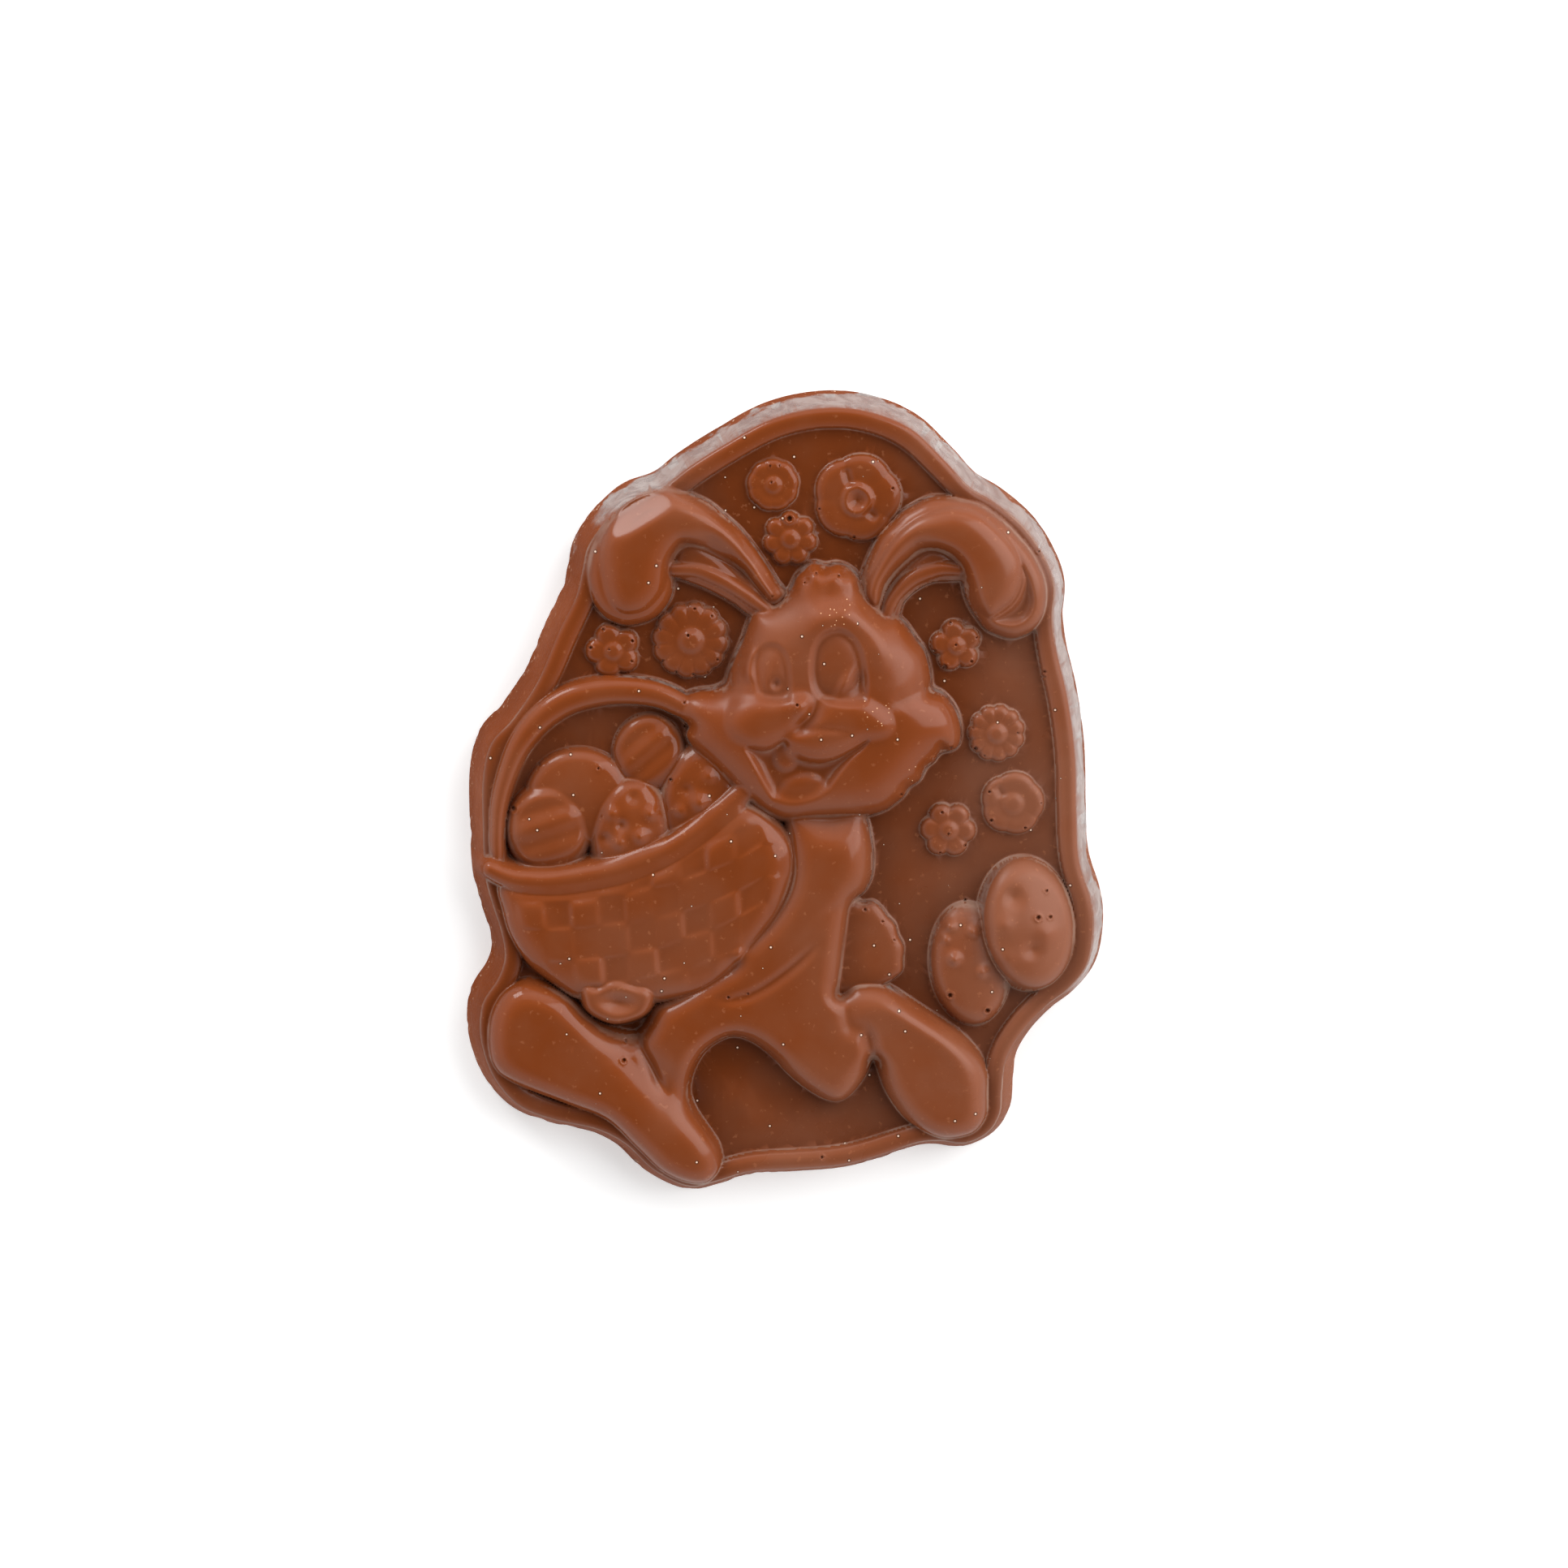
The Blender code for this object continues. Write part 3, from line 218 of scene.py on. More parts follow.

# Painted glints on opened bubbles with painted shade round them, and painted glints as sparkles: cells per
# metre, size in a cell, rarity, and the sparkles' places and reaches
PORE_SCALE = 300.0
PORE_RADIUS = 0.05
PORE_RIM = 2.2
PORE_CRISP = 60.0
PORE_RARITY = 0.84, 12.0
SPARKLE_SCALE = 1300.0
SPARKLE_RADIUS = 0.12, 20.0
SPARKLE_RARITY = 1.0, 10.0
SPARKLE_SHARE = 0.5
SPARKLE_FADE = 500.0
SPARKLES = [
    ((0.013, 0.0136, 0.0133), 0.0034), ((0.0076, 0.0286, 0.0125), 0.0034),
    ((0.001, 0.0145, 0.0135), 0.0018), ((0.019, 0.004, 0.0105), 0.003)]

# Scraped wall: how far left and below it starts, its edge at the back, how ragged these are, and the nicks'
# depth, their sizes and how they fade away from the lower left
SCRAPE_FROM = 0.026, 300.0
SCRAPE_EDGE = 0.0016, 1500.0
SCRAPE_RAGGED = 0.02, 0.01, 0.012
NICK_DEPTH = 0.3
NICK_SIZES = [(0.35, 1.0), (0.8, 0.5)]
NICK_MIDDLE = 0.3
NICK_FALL = 30
NICK_LEAST = 0.2

# Pinholes from air bubbles: place, and radius as it shows
PINHOLES = rows(
    -2.2, 48.9, 0.22, -0.9, 48.9, 0.2, -2.1, 46.5, 0.22, -26.7, 25, 0.3, -22.5, 23.3, 0.3,
    -28.6, 22.3, 0.32, -22.6, 20.3, 0.25, -25.9, 22.1, 0.22, -13.3, 28, 0.25, -10.8, 26.9, 0.22,
    -18.4, 24.9, 0.2, -18.7, 22.3, 0.2, -18, 20.4, 0.22, -16.1, 18.7, 0.25, -13.6, 18.3, 0.28,
    -11.5, 18.7, 0.2, -10, 20.5, 0.25, -14.3, 24.1, 0.3, 24.3, 25.7, 0.28, 28.1, 23.6, 0.2,
    27.4, 20.1, 0.28, 23.5, 19.3, 0.42, 22.1, 21.7, 0.22, 25.1, 22.6, 0.25, 27.8, 10.1, 0.22,
    28.2, 7.1, 0.36, 34.4, 9.4, 0.22, 29.5, 6, 0.2, 30.3, 0.6, 0.3, 30.6, -3.7, 0.32, 35.6, -4.8, 0.26,
    38, -1.2, 0.2, 23.2, -2.4, 0.28, 26.7, -7.5, 0.28, 23, -8.5, 0.24, 24.2, -5.6, 0.24, 0.6, 41.2, 0.5,
    -0.6, 41.6, 0.25, 10.1, 38.5, 0.25, 15.7, 45.6, 0.25, 5, 42.6, 0.25, 4.4, 33.3, 0.28, 7.7, 33, 0.28,
    2.8, 32, 0.22, -2, 30, 0.25, 24.4, 7.5, 0.28, 21.8, 5.8, 0.2, 18.5, 2.4, 0.2, 17.1, 0.5, 0.3,
    -14.6, 10.5, 0.36, -14.9, 14.3, 0.25, 1.5, 14.5, 0.3, 11.8, -16.9, 0.28, 14.4, -18.7, 0.25,
    16.2, -21.5, 0.2, 26.9, -15.9, 0.3, 24.5, -29.7, 0.42, 30.1, -32.2, 0.42, 37.4, -17.8, 0.4,
    39.2, -17.8, 0.3, 38.7, -14, 0.25, -40.1, -1.4, 0.45, -36.3, 5, 0.3, -27.6, 4.6, 0.25, -16.9, 2.8, 0.32,
    -23.9, -36.5, 0.3, -24.1, -39.1, 0.36, -8.6, -29.5, 0.28, -5.7, -29, 0.22, 5.5, -54.7, 0.3,
    38.3, 18.5, 0.3, 38.2, 17.7, 0.3, 37.4, 36.9, 0.25, 37.2, 36.3, 0.25, each=3)

# Bumps and dents on the eggs, lobes of the tuft's edge, and the dimple in the large flower's heart: place,
# width and rise
LUMPS = rows(
    24.3, -19.2, 0.9, 0.75, 27.8, -20, 0.9, 0.66, 25, -24.1, 1, 0.8, 29.3, -26.1, 0.9, 0.61,
    23.7, -21.3, 0.7, 0.35, 33.7, -14.9, 1.5, -0.53, 36.5, -22.5, 1.5, -0.53, 32.1, -18.8, 1.6, 0.39,
    38.7, -20.1, 1.6, 0.34, 32.6, -23.7, 1.5, 0.28, -19.9, -1.9, 1.1, 0.71, -21.5, -5.3, 1.1, 0.66,
    -24.2, -3.7, 1, -0.61, -25.8, -1.9, 1.1, 0.53, -22.5, 0.4, 1.1, -0.39, -24.6, -6.3, 1, 0.47,
    -26.7, -5.7, 1, -0.47, -12.7, -0.4, 1.3, 0.71, -11.3, 3.5, 1.2, 0.56, -14.6, 1.4, 1.1, -0.47,
    -15.6, -1.6, 1, 0.47, 4, 32.9, 1.2, 0.35, 6.9, 33.1, 1.3, 0.4, 9.6, 31.9, 1.2, 0.35,
    2.2, 31.2, 1.1, 0.25, 5.5, 33.8, 0.7, -0.45, 8.5, 33.4, 0.7, -0.4, 3, 32.4, 0.5, -0.2,
    6.4, 29.6, 2.4, -0.7, 10.5, 43.9, 0.7, -0.3, each=4)

# The stretch that closes the ring round the large flower's heart
HEART_REST = rows(9.2, 45.2, 10.5, 45.8, 11.6, 45.3, 12.2, 44.5, 12.3, 43.7, 11.7, 42.6, 10.9, 42.3)

# Ridges across two of the basket's eggs: which egg, direction in degrees, spacing and height, and how fast
# they fade at its side
EGG_STRIPES = [(3, 17, 4.4, 0.22), (1, 40, 3.8, 0.2)]
STRIPE_FADE = 2.5

# Pinholes: the true radius as a share of that, and in true radii the lip's height, place and width and the
# depth
PINHOLE_SIZE = 0.72
PINHOLE_LIP = 0.5, 1.8, 0.6
PINHOLE_DEPTH = 2.2

# Weave: a square's width and height, its rise, how crisp its edge is, how far the strands lean and the rows
# rise with the rim, what all squares and what single ones rise, their tilt, how both vary among them, and
# where it starts and how fast it grows inside the basket's edge and below its rim
WEAVE_CELL = (4.0, 4.4)
WEAVE_RISE = 0.23
WEAVE_CRISP = 2.4
WEAVE_LEAN = 0.06
WEAVE_CURVE = 0.5
WEAVE_SHARES = 0.6, 0.5
WEAVE_TILT = 0.9
WEAVE_SHUFFLES = (12.99, 78.23), (37.7, 11.3)
WEAVE_MARGIN = 1.5, 2.5
RIM_MARGIN = 2.5, 1.5

# Waviness: length and height
WAVES = [(18.0, 0.14), (5.0, 0.025)]


def add_camera():
    lean = CAMERA_LEAN.normalized()
    camera = placed("camera", bpy.data.cameras.new("camera"))
    camera.data.lens = LENS_MM
    camera.data.sensor_width = 36.0
    camera.data.clip_start = 0.05
    camera.data.clip_end = 20.0
    up = (Vector((0, 1, 0)) - lean.y * lean).normalized()
    side = up.cross(lean)
    turn = Matrix((side, up, lean)).transposed().to_4x4()
    camera.matrix_world = Matrix.Translation(CAMERA_TARGET + CAMERA_DISTANCE * lean) @ turn
    bpy.context.scene.camera = camera


add_camera()


# The plate's top edge, round the egg shape and round each form that reaches past it
PLATE_EDGE = rows(
    5, 57.3, 11.7, 56.9, 18.2, 54.4, 23.3, 49.7, 27.1, 45.7, 30.9, 43.4, 35.1, 39.9, 38, 35.7, 39.7, 31.2,
    39.5, 26.4, 40.1, 21.6, 41.8, 14.5, 43, 6.1, 43.3, -2.4, 43.8, -9.8, 45.8, -16.4, 46.1, -20.8,
    45.2, -25.7, 42.5, -29.3, 39.2, -31.9, 35.7, -35.6, 33.3, -39.8, 32.7, -44.3, 32.4, -48.2, 30.6, -51.2,
    27.1, -52.9, 23.1, -52.5, 19.8, -52.8, 13.4, -54.9, 8.3, -56.1, 1.5, -56.6, -5.3, -57, -10.1, -58.4,
    -14.5, -59.2, -19.8, -56.6, -24, -52.6, -28.3, -50.3, -34.9, -48.7, -39.7, -46.7, -43, -43.2,
    -44.8, -39.3, -45.6, -35, -45.1, -30.7, -42.8, -27, -41.8, -23.9, -42.2, -20.3, -43.6, -15.6,
    -44.5, -11.7, -44.8, -4.4, -44.7, 3.2, -43.4, 8.3, -40.2, 11.9, -36.4, 17.6, -33.2, 24.9, -30.8, 29.8,
    -29.8, 33.7, -28.9, 37.3, -25.9, 41.4, -22.6, 44.1, -18.1, 45.8, -14.1, 48.8, -9, 52, -2.1, 55.7)

# Ears: a rolled front over a wider foot, a trough along its inner half, a hollow behind it, a back rim
LEFT_EAR = rows(
    -1.2, 28.4, -0.2, 29.4, 0.2, 30.4, -0.8, 31.5, -2.3, 33.8, -4.4, 36.9, -6.4, 39.5, -8.9, 41.8,
    -11.3, 43.7, -13.7, 44.8, -15.7, 45.4, -18.1, 45.7, -20.4, 45.1, -23, 43.8, -25.9, 41.2, -27.8, 38.4,
    -28.8, 36.1, -29.2, 33.5, -28.9, 31, -28.2, 29, -27.1, 27.4, -25.7, 26.3, -23.5, 25.6, -21.1, 25.9,
    -19, 26.8, -17.6, 28.2, -16.7, 29.8, -16.4, 31.6, -16.4, 33.9, -15.8, 35.8, -14.3, 36.8, -12.5, 36.3,
    -10.4, 35.3, -8, 34, -5.6, 32.1, -3.9, 30.2, -2.6, 28.4)
LEFT_EAR_FRONT = rows(
    -19.8, 45.5, -17.5, 45.9, -15.6, 45.4, -13.7, 44.6, -11.6, 43.3, -9.3, 41.3, -7.2, 38.9, -5.3, 36.1,
    -3.5, 33.5, -1.8, 31, -1.3, 29.6, -2.4, 29.4, -4.1, 31.3, -6.1, 33.5, -8.6, 35.4, -11.2, 36.8,
    -13.4, 37.6, -15.1, 37.9, -16.2, 36.6, -17, 34.8, -17.4, 32.8, -18, 30.9, -19.3, 29.1, -21.1, 27.8,
    -23.5, 27.5, -25.1, 28.4, -26.2, 30.3, -26.8, 32.8, -27.1, 35.4, -26.8, 38.4, -25.9, 40.7, -24.2, 43,
    -22.1, 44.6)
LEFT_EAR_TROUGH = rows(-14.5, 38.9, -11.9, 38.4, -9, 36.8, -6.3, 34.1, -3.9, 30.8)
LEFT_EAR_HOLLOW = rows(
    -16.5, 34.3, -14.9, 37.7, -11.8, 37.7, -8, 35.1, -4.5, 32, -1.9, 28.9, -2.7, 26.7, -5.1, 27, -7.7, 28.9,
    -11.4, 30.9, -14.9, 32.3, -16.6, 32.9)
LEFT_EAR_RIM = rows(-16.4, 33.9, -13.1, 33.8, -10.2, 32.7, -7.4, 31.2, -4.5, 29.1, -2.2, 27.4)
RIGHT_EAR = rows(
    10.9, 30.8, 11, 32.3, 11.7, 34.4, 12.7, 36.8, 14, 39.1, 15.9, 41, 17.1, 42.2, 18.9, 43.3, 20.7, 44.2,
    22.2, 44.5, 24.6, 44.4, 27, 44, 28.8, 43.4, 30.6, 42.2, 32.4, 40.8, 34.2, 39, 36, 36.9, 37.2, 35.1,
    38.2, 32.9, 38.7, 30.8, 38.6, 28.4, 38, 26.4, 36.8, 24.8, 34.9, 23.7, 33.1, 23.4, 31.3, 23.9,
    29.5, 24.8, 28.3, 26.3, 27.3, 27.8, 26.5, 29.6, 26, 31.7, 25.3, 33.4, 24.2, 35, 22.6, 36, 21.2, 36.2,
    19.3, 35.3, 17.5, 33.7, 16.1, 32, 15, 30.3, 14.3, 28.2, 13.9, 26.7, 12.2, 27.6, 11.2, 29.1)
RIGHT_EAR_FRONT = rows(
    11.5, 30.3, 12.1, 32.2, 13.1, 34.1, 14.2, 36.1, 15.6, 38.2, 17.1, 39.8, 18.9, 41.2, 21, 42.2,
    22.7, 42.8, 24.5, 43.1, 26.3, 42.9, 27.9, 42.3, 29.6, 41.2, 31.2, 39.7, 32.6, 38.1, 33.8, 36.3,
    34.4, 34.6, 34.5, 32.9, 34.1, 31, 33.3, 29.4, 32, 28.2, 30.8, 27.4, 29.8, 26.8, 28.8, 27.4, 27.8, 28.7,
    27.1, 30.5, 26.5, 32.3, 25.9, 34.1, 24.8, 35.5, 23.4, 36.4, 21.5, 36.9, 19.6, 36.5, 17.6, 34.9,
    15.9, 33.2, 14.7, 31.3, 13.9, 29.2, 13.1, 28.4, 12.1, 28.9)
RIGHT_EAR_TROUGH = rows(13.4, 27.9, 14.4, 31, 16, 34.1, 18.1, 36.5, 20.5, 37.9, 23.2, 37.9)
RIGHT_EAR_CUP = rows(
    34.5, 34.3, 35.4, 32.9, 36.1, 31, 36.5, 28.9, 36.1, 27.4, 35.2, 26.3, 33.8, 25.7, 32.3, 25.7, 31.1, 26,
    30.5, 26.5, 31.9, 27.4, 33.5, 28.7, 34.5, 30.4, 35, 32.5)
RIGHT_EAR_HOLLOW = rows(
    13.7, 26.1, 14.1, 29.7, 15.5, 32.4, 17.5, 34.5, 20.5, 36.7, 23.5, 36.4, 26, 34.8, 26.7, 32.4, 25, 32.1,
    21.7, 31.9, 19.1, 30.6, 17.3, 28.8, 16.7, 26.9, 15.8, 25.7)
RIGHT_EAR_RIM = rows(
    14.7, 26.4, 15.2, 28.4, 16, 30.1, 17.3, 31.5, 19, 32.7, 21, 33.5, 23, 33.9, 25.4, 33.7)

# Head, with its tuft between the ears and the fur of both cheeks
HEAD = rows(
    0.3, 30.2, 1.1, 31.5, 1.7, 32.8, 2.6, 33.7, 3.6, 34.6, 4.5, 34.7, 6, 34.3, 7.6, 34.6, 9.2, 34,
    10.6, 32.7, 11.4, 31, 12.9, 28.9, 14.8, 27.2, 16.5, 26.7, 17.9, 25.3, 19.3, 23.3, 20.4, 21.8, 21, 20,
    21.4, 17.9, 21.6, 16.1, 22.9, 15.5, 24.2, 14.3, 25.3, 12.5, 25.9, 10.1, 25.8, 8.2, 25.2, 7.2, 24.2, 6.8,
    22.8, 6.4, 22, 5.3, 20.8, 4.3, 19.8, 2.4, 18.3, 1.4, 17.5, 0.1, 16.2, -1, 14.7, -2, 12.9, -2.6,
    10.5, -3, 8.1, -3.3, 5.5, -3.5, 2.7, -3.7, 0.3, -3.7, -1.7, -3.3, -3.6, -2.3, -5.5, -0.8, -7.8, 1.3,
    -10, 3.6, -12.2, 5.9, -13.7, 7.6, -14.6, 9.3, -14.3, 10.8, -15.4, 12, -15.5, 13.7, -14.7, 15.2,
    -12.9, 15.9, -10.5, 16.2, -8.9, 16.9, -8.3, 18.4, -7.5, 20.7, -6.3, 23.3, -5.3, 26.1, -4.5, 27.6,
    -2.6, 28.2, -0.9, 29)
LEFT_CHEEK = rows(
    -9, 11.8, -8.4, 14, -7, 15.3, -4.6, 15.7, -1.7, 15.6, 0.7, 15.8, 2.5, 15.9, 3.6, 15.2, 4, 13.9,
    3.4, 12.4, 2, 11, -0.3, 9.6, -2.5, 8.7, -4.9, 8.3, -7, 8.9, -8.4, 10.1)
RIGHT_CHEEK = rows(
    2.2, 11.5, 3.7, 13.4, 5.2, 15, 7.2, 15.8, 9.1, 16, 11, 15.7, 12.9, 14.8, 14.4, 13.6, 15.5, 12.1,
    15.6, 10.6, 14.6, 9.6, 12.7, 9.1, 10.8, 8.9, 9.2, 7.9, 7.2, 7.1, 4.8, 6.7, 2.5, 7.1, 0.7, 8.2,
    -0.4, 9.6, 0.6, 10.7)
LIP_FOLD = rows(-0.2, 9.8, 1.9, 10.5, 4.8, 10.9, 7.8, 10.7, 11, 10.2)
MOUTH = rows(
    -5.9, 8.1, -2.8, 8.2, -0.3, 9.2, 0.8, 7.8, 2.5, 6.7, 4.9, 6.3, 7.3, 6.7, 9.6, 7.8, 12, 9.1, 11.1, 7.8,
    9.4, 6.3, 8, 4.6, 6.7, 2.6, 5.6, 1, 3.9, 0, 1.6, -0.6, -0.5, -0.4, -2, 0.5, -3.2, 2.4, -4.4, 4.8,
    -5.3, 6.6)
TOOTH = rows(-2, 6.9, -1.5, 7.8, -0.1, 8.3, 1.3, 7.4, 1.8, 5.9, 1, 4.6, -0.6, 4.3, -1.8, 5.4)
TONGUE = rows(
    -1.6, 0.2, -1, 2.2, 0.4, 3.5, 2.5, 4.2, 4.7, 3.9, 6, 2.5, 5.9, 1, 4.1, -0.2, 1.9, -0.8, -0.3, -0.7)
LEFT_EYE = rows(
    -4.5, 16.5, -4.9, 19.4, -4.5, 21.5, -3.6, 22.9, -2, 23.4, -0.6, 22.8, 0.3, 21.5, 0.7, 19.5, 0.8, 16.7,
    0.1, 14.9, -3.4, 14.9)
RIGHT_EYE = rows(
    3.8, 16.9, 3.4, 19.1, 3.5, 21.5, 4.1, 23.6, 5.3, 25, 7, 25.6, 8.7, 25.3, 10.3, 23.9, 11.2, 22,
    11.7, 19.5, 12, 16.7, 11.3, 14.5, 7.8, 14.3, 4.9, 15.3)
BROW = rows(2.2, 22.5, 3.4, 25.1, 5.3, 26.9, 7.8, 27.6, 10.5, 26.8, 12.7, 24.6, 13.8, 21.3, 14.3, 17.4)
EYE_LID = rows(-5.2, 17, -5.6, 19.4, -5.2, 21.6, -4.2, 23)
PHILTRUM = rows(4.3, 15.2, 4.2, 13.7, 3.5, 12.4, 2.2, 11.5, 0.1, 10.4)
CHEEK_CREASE = rows(21.7, 16.9, 19.1, 15.7, 16.5, 14.5, 15.3, 12.4)
FUR_NOTCH = [(24.3, 5.8), (23.0, 7.6), (22.3, 9.4)]

# Basket, hands and body
BASKET = rows(
    -42.3, -12.5, -41.8, -16.8, -40.7, -20.5, -38.1, -24.7, -33.6, -28.5, -30.9, -30.1, -25.1, -31.1,
    -18.4, -30.7, -12.3, -29.4, -7.6, -26.3, -3.3, -21.4, -0.2, -16.8, 1.8, -11, 1.3, -6.8, -1.5, -3.1,
    -5.1, -0.6, -8.1, -0.5, -12.9, -4.5, -19.9, -8.1, -28.6, -11.1, -36.8, -11.9)
BASKET_RIM = rows(
    -43.5, -10.2, -41.6, -11.1, -39.2, -11.8, -34.5, -12, -29.7, -11.4, -23.7, -10.1, -17.7, -7.6,
    -13, -4.7, -9, -1.6, -6, 1.3, -3.4, 4.4)
BASKET_HANDLE = rows(
    -42.5, -10, -42.6, -5.4, -42.2, -0.6, -41, 3.9, -39.1, 8.2, -36.1, 11.9, -32.3, 14.5, -27.7, 15.8,
    -23, 16, -18.6, 15.3, -14.7, 13.5)
ARM = rows(
    0.3, -2.1, 5.1, -1.4, 11.1, -1.7, 12, -3.4, 12.6, -5.8, 13, -8.9, 12.8, -11.9, 11.8, -14.1, 10.4, -15.3,
    9.7, -16.6, 7.5, -19.2, 5.3, -21.4, 2.7, -24.1, 0, -26.6, -3.4, -28.9, -6.4, -30.1, -9, -30.4,
    -11.8, -29.7, -11.6, -28.7, -9.9, -27.2, -9.1, -25.3, -8.2, -23.7, -7.6, -22.2, -6, -20.6, -3.8, -18.6,
    -1.9, -16.1, -0.6, -13.7, 0.1, -10.9, 0.1, -7.6, -0.1, -3.9)
ARM_EDGE = rows(6.2, -19.9, 2.8, -23.4, -0.1, -25.9, -3.4, -28.2, -6.5, -29.6, -9.1, -29.9, -11.9, -29.3)
FAR_HAND = rows(
    -30.3, -28.5, -29.5, -27.4, -28.1, -27.7, -26.8, -27, -25.4, -26.5, -23.8, -26.8, -22.2, -27.4,
    -20.6, -27.7, -19.6, -28.8, -19.9, -30.5, -20.9, -32, -22.7, -32.9, -25.4, -33.4, -27.8, -32.6,
    -29.6, -31.2)
BODY_AND_LEGS = rows(
    -44.3, -37.8, -44.4, -34.8, -43.7, -31.6, -41.8, -28.7, -38.5, -27.3, -34.7, -28.1, -31.7, -29.9,
    -28.9, -32.7, -26.1, -34.7, -22.5, -35.6, -20.8, -34, -19.5, -31.3, -16.6, -29.5, -11.8, -26.5,
    -4.6, -21.6, 2.1, -14.3, 10.3, -13.9, 9.8, -16.2, 9.4, -19.3, 8.8, -24.2, 8.4, -27.8, 8.1, -29.6,
    8.8, -29.3, 10.2, -28.2, 11.9, -27.9, 13.8, -28.1, 15.7, -28.8, 19.6, -31.4, 25.7, -35.6, 28.9, -38.9,
    30.3, -41.9, 30.5, -44.7, 30.3, -48.4, 28.8, -50.8, 26.4, -51.8, 23.4, -51.9, 20.5, -50.7, 17.8, -48.5,
    15.4, -45, 14, -41.5, 13.2, -40, 11.7, -42.7, 10, -44.9, 8.4, -46, 6.3, -45.9, 2.9, -43.9, 0.3, -41.6,
    -1.9, -39.2, -4.8, -37, -7.6, -36.1, -9.9, -36.8, -12.1, -38.5, -13.7, -41.3, -14.3, -44.5,
    -13.6, -47.2, -11.6, -50.3, -9.9, -53.1, -9.7, -56.2, -11.7, -58.4, -14.8, -58.4, -18.6, -56.6,
    -22.2, -53.1, -26.8, -48.7, -32.7, -46.2, -38.7, -43.8, -42.3, -41.8, -43.7, -40)
LEG_GROOVE = rows(-23.2, -33.7, -22, -36.4, -20.3, -39.6, -18.9, -42.7, -17.2, -45.3)
LEG_SLOPE = rows(-29.6, -31.8, -24.8, -35.8, -20.3, -40.3, -15.5, -45.7, -11.7, -51.4)
RIGHT_LEG_RIDGE = rows(11.9, -28.9, 16.9, -32, 23, -36, 26.6, -39.2, 27.9, -42.5)
THIGH_FOLD = [(8.6, -29.9), (9.5, -33.1), (10.5, -36.8)]
THIGH_CREASE = rows(11.5, -32.3, 12.4, -36, 13.1, -39.2, 14.4, -42.8)
TAIL = rows(
    7.5, -16.7, 10.1, -15.5, 11.6, -16, 13, -15.8, 14.2, -16.7, 15.2, -18.1, 16.3, -19.3, 16.8, -21,
    17.6, -22.6, 17.5, -24.5, 17.4, -26.3, 16.2, -27.5, 15, -28.3, 13.5, -29, 9.9, -29.6, 6.3, -29)

# Eggs: middle, half width, half length, lean in degrees, height of the side, rise of the crown above it,
# and for the loose ones how far the top falls to the right and towards the head, per millimetre
BASKET_EGGS = [
    ((-30.6, -0.1), 7.9, 7.5, 0, 0.9, 1.9), ((-20.2, 6.6), 5.3, 5.9, 0, 0.6, 1.7),
    ((-12.7, -0.8), 6, 8.7, -8, 1, 2.2), ((-35, -4.6), 6.3, 7, 0, 1.2, 2.6),
    ((-22.9, -5.6), 6.1, 8.8, -4, 1.2, 2.8)]
LOOSE_EGGS = [
    ((27.8, -25.3), 6, 9.2, 6, 0.9, 2.4, (0.1, 0.04)), ((36.4, -19), 6.9, 9.7, 9, 2, 2.8, (0.2, 0.12))]

# Flowers: middle, radius, petals, turn in degrees, height of the petals, depth of the notches between them,
# depth of the valleys that run in from the notches, and the dome (where negative, the dimple) in the heart
FLOWERS = [
    ((-1.8, 46.1), 3.8, 9, 10, 1.3, 0.03, 0.1, 0.4), ((10.6, 44.2), 6.4, 5, 75, 1.6, 0.07, 0.2, 0),
    ((0.7, 38.2), 4, 7, 92, 1.4, 0.13, 0.35, 0.45), ((-25.3, 21.8), 4, 5, 108, 1.5, 0.17, 0.45, 0.4),
    ((-13.9, 23.3), 5.6, 12, 82, 1.5, 0.06, 0.2, 0.6), ((25.2, 22.4), 3.8, 5, 100, 1.6, 0.18, 0.5, 0.45),
    ((31.3, 9.3), 4.2, 11, 80, 1.4, 0.06, 0.2, 0.55), ((33.8, -1.2), 4.7, 5, 150, 1.4, 0.07, 0.15, 0.4),
    ((24.2, -5.1), 4.1, 6, 116, 1.5, 0.13, 0.45, 0.45)]
HEART_RING = rows(
    11.6, 45.3, 10.5, 45.8, 9.3, 45.3, 8.8, 44.1, 9.1, 42.7, 10.4, 42.1, 11.7, 42.6, 12.3, 43.7)
PETAL_FOLDS = [
    [(8.7, 48.9), (9.3, 46.8), (9.6, 45.8)], [(13.8, 41.1), (12.6, 41.9), (11.6, 42.6)],
    [(31.2, 1.8), (32, 0.6), (32.5, -0.3)]]


def curve_through(points, closed=True, spacing=0.6):
    """Evenly spaced points of a smooth curve through the given ones."""
    knots = np.asarray(points, float)
    if closed:
        knots = np.vstack([knots[-1:], knots, knots[:2]])
    else:
        knots = np.vstack([2 * knots[0] - knots[1], knots, 2 * knots[-1] - knots[-2]])
    chords = np.linalg.norm(np.diff(knots, axis=0), axis=1)
    time = np.concatenate([[0], np.cumsum(np.sqrt(chords))])
    slopes = (knots[2:] - knots[:-2]) / (time[2:] - time[:-2])[:, None]
    pieces = []
    for i in range(len(slopes) - 1):
        start, end = knots[i + 1], knots[i + 2]
        span = time[i + 2] - time[i + 1]
        count = max(2, round(chords[i + 1] / spacing))
        u = np.linspace(0, 1, count, endpoint=False)[:, None]
        pieces.append((2 * u**3 - 3 * u**2 + 1) * start + (u**3 - 2 * u**2 + u) * span * slopes[i]
                      + (3 * u**2 - 2 * u**3) * end + (u**3 - u**2) * span * slopes[i + 1])
    if not closed:
        pieces.append(knots[-2:-1])
    return np.vstack(pieces)


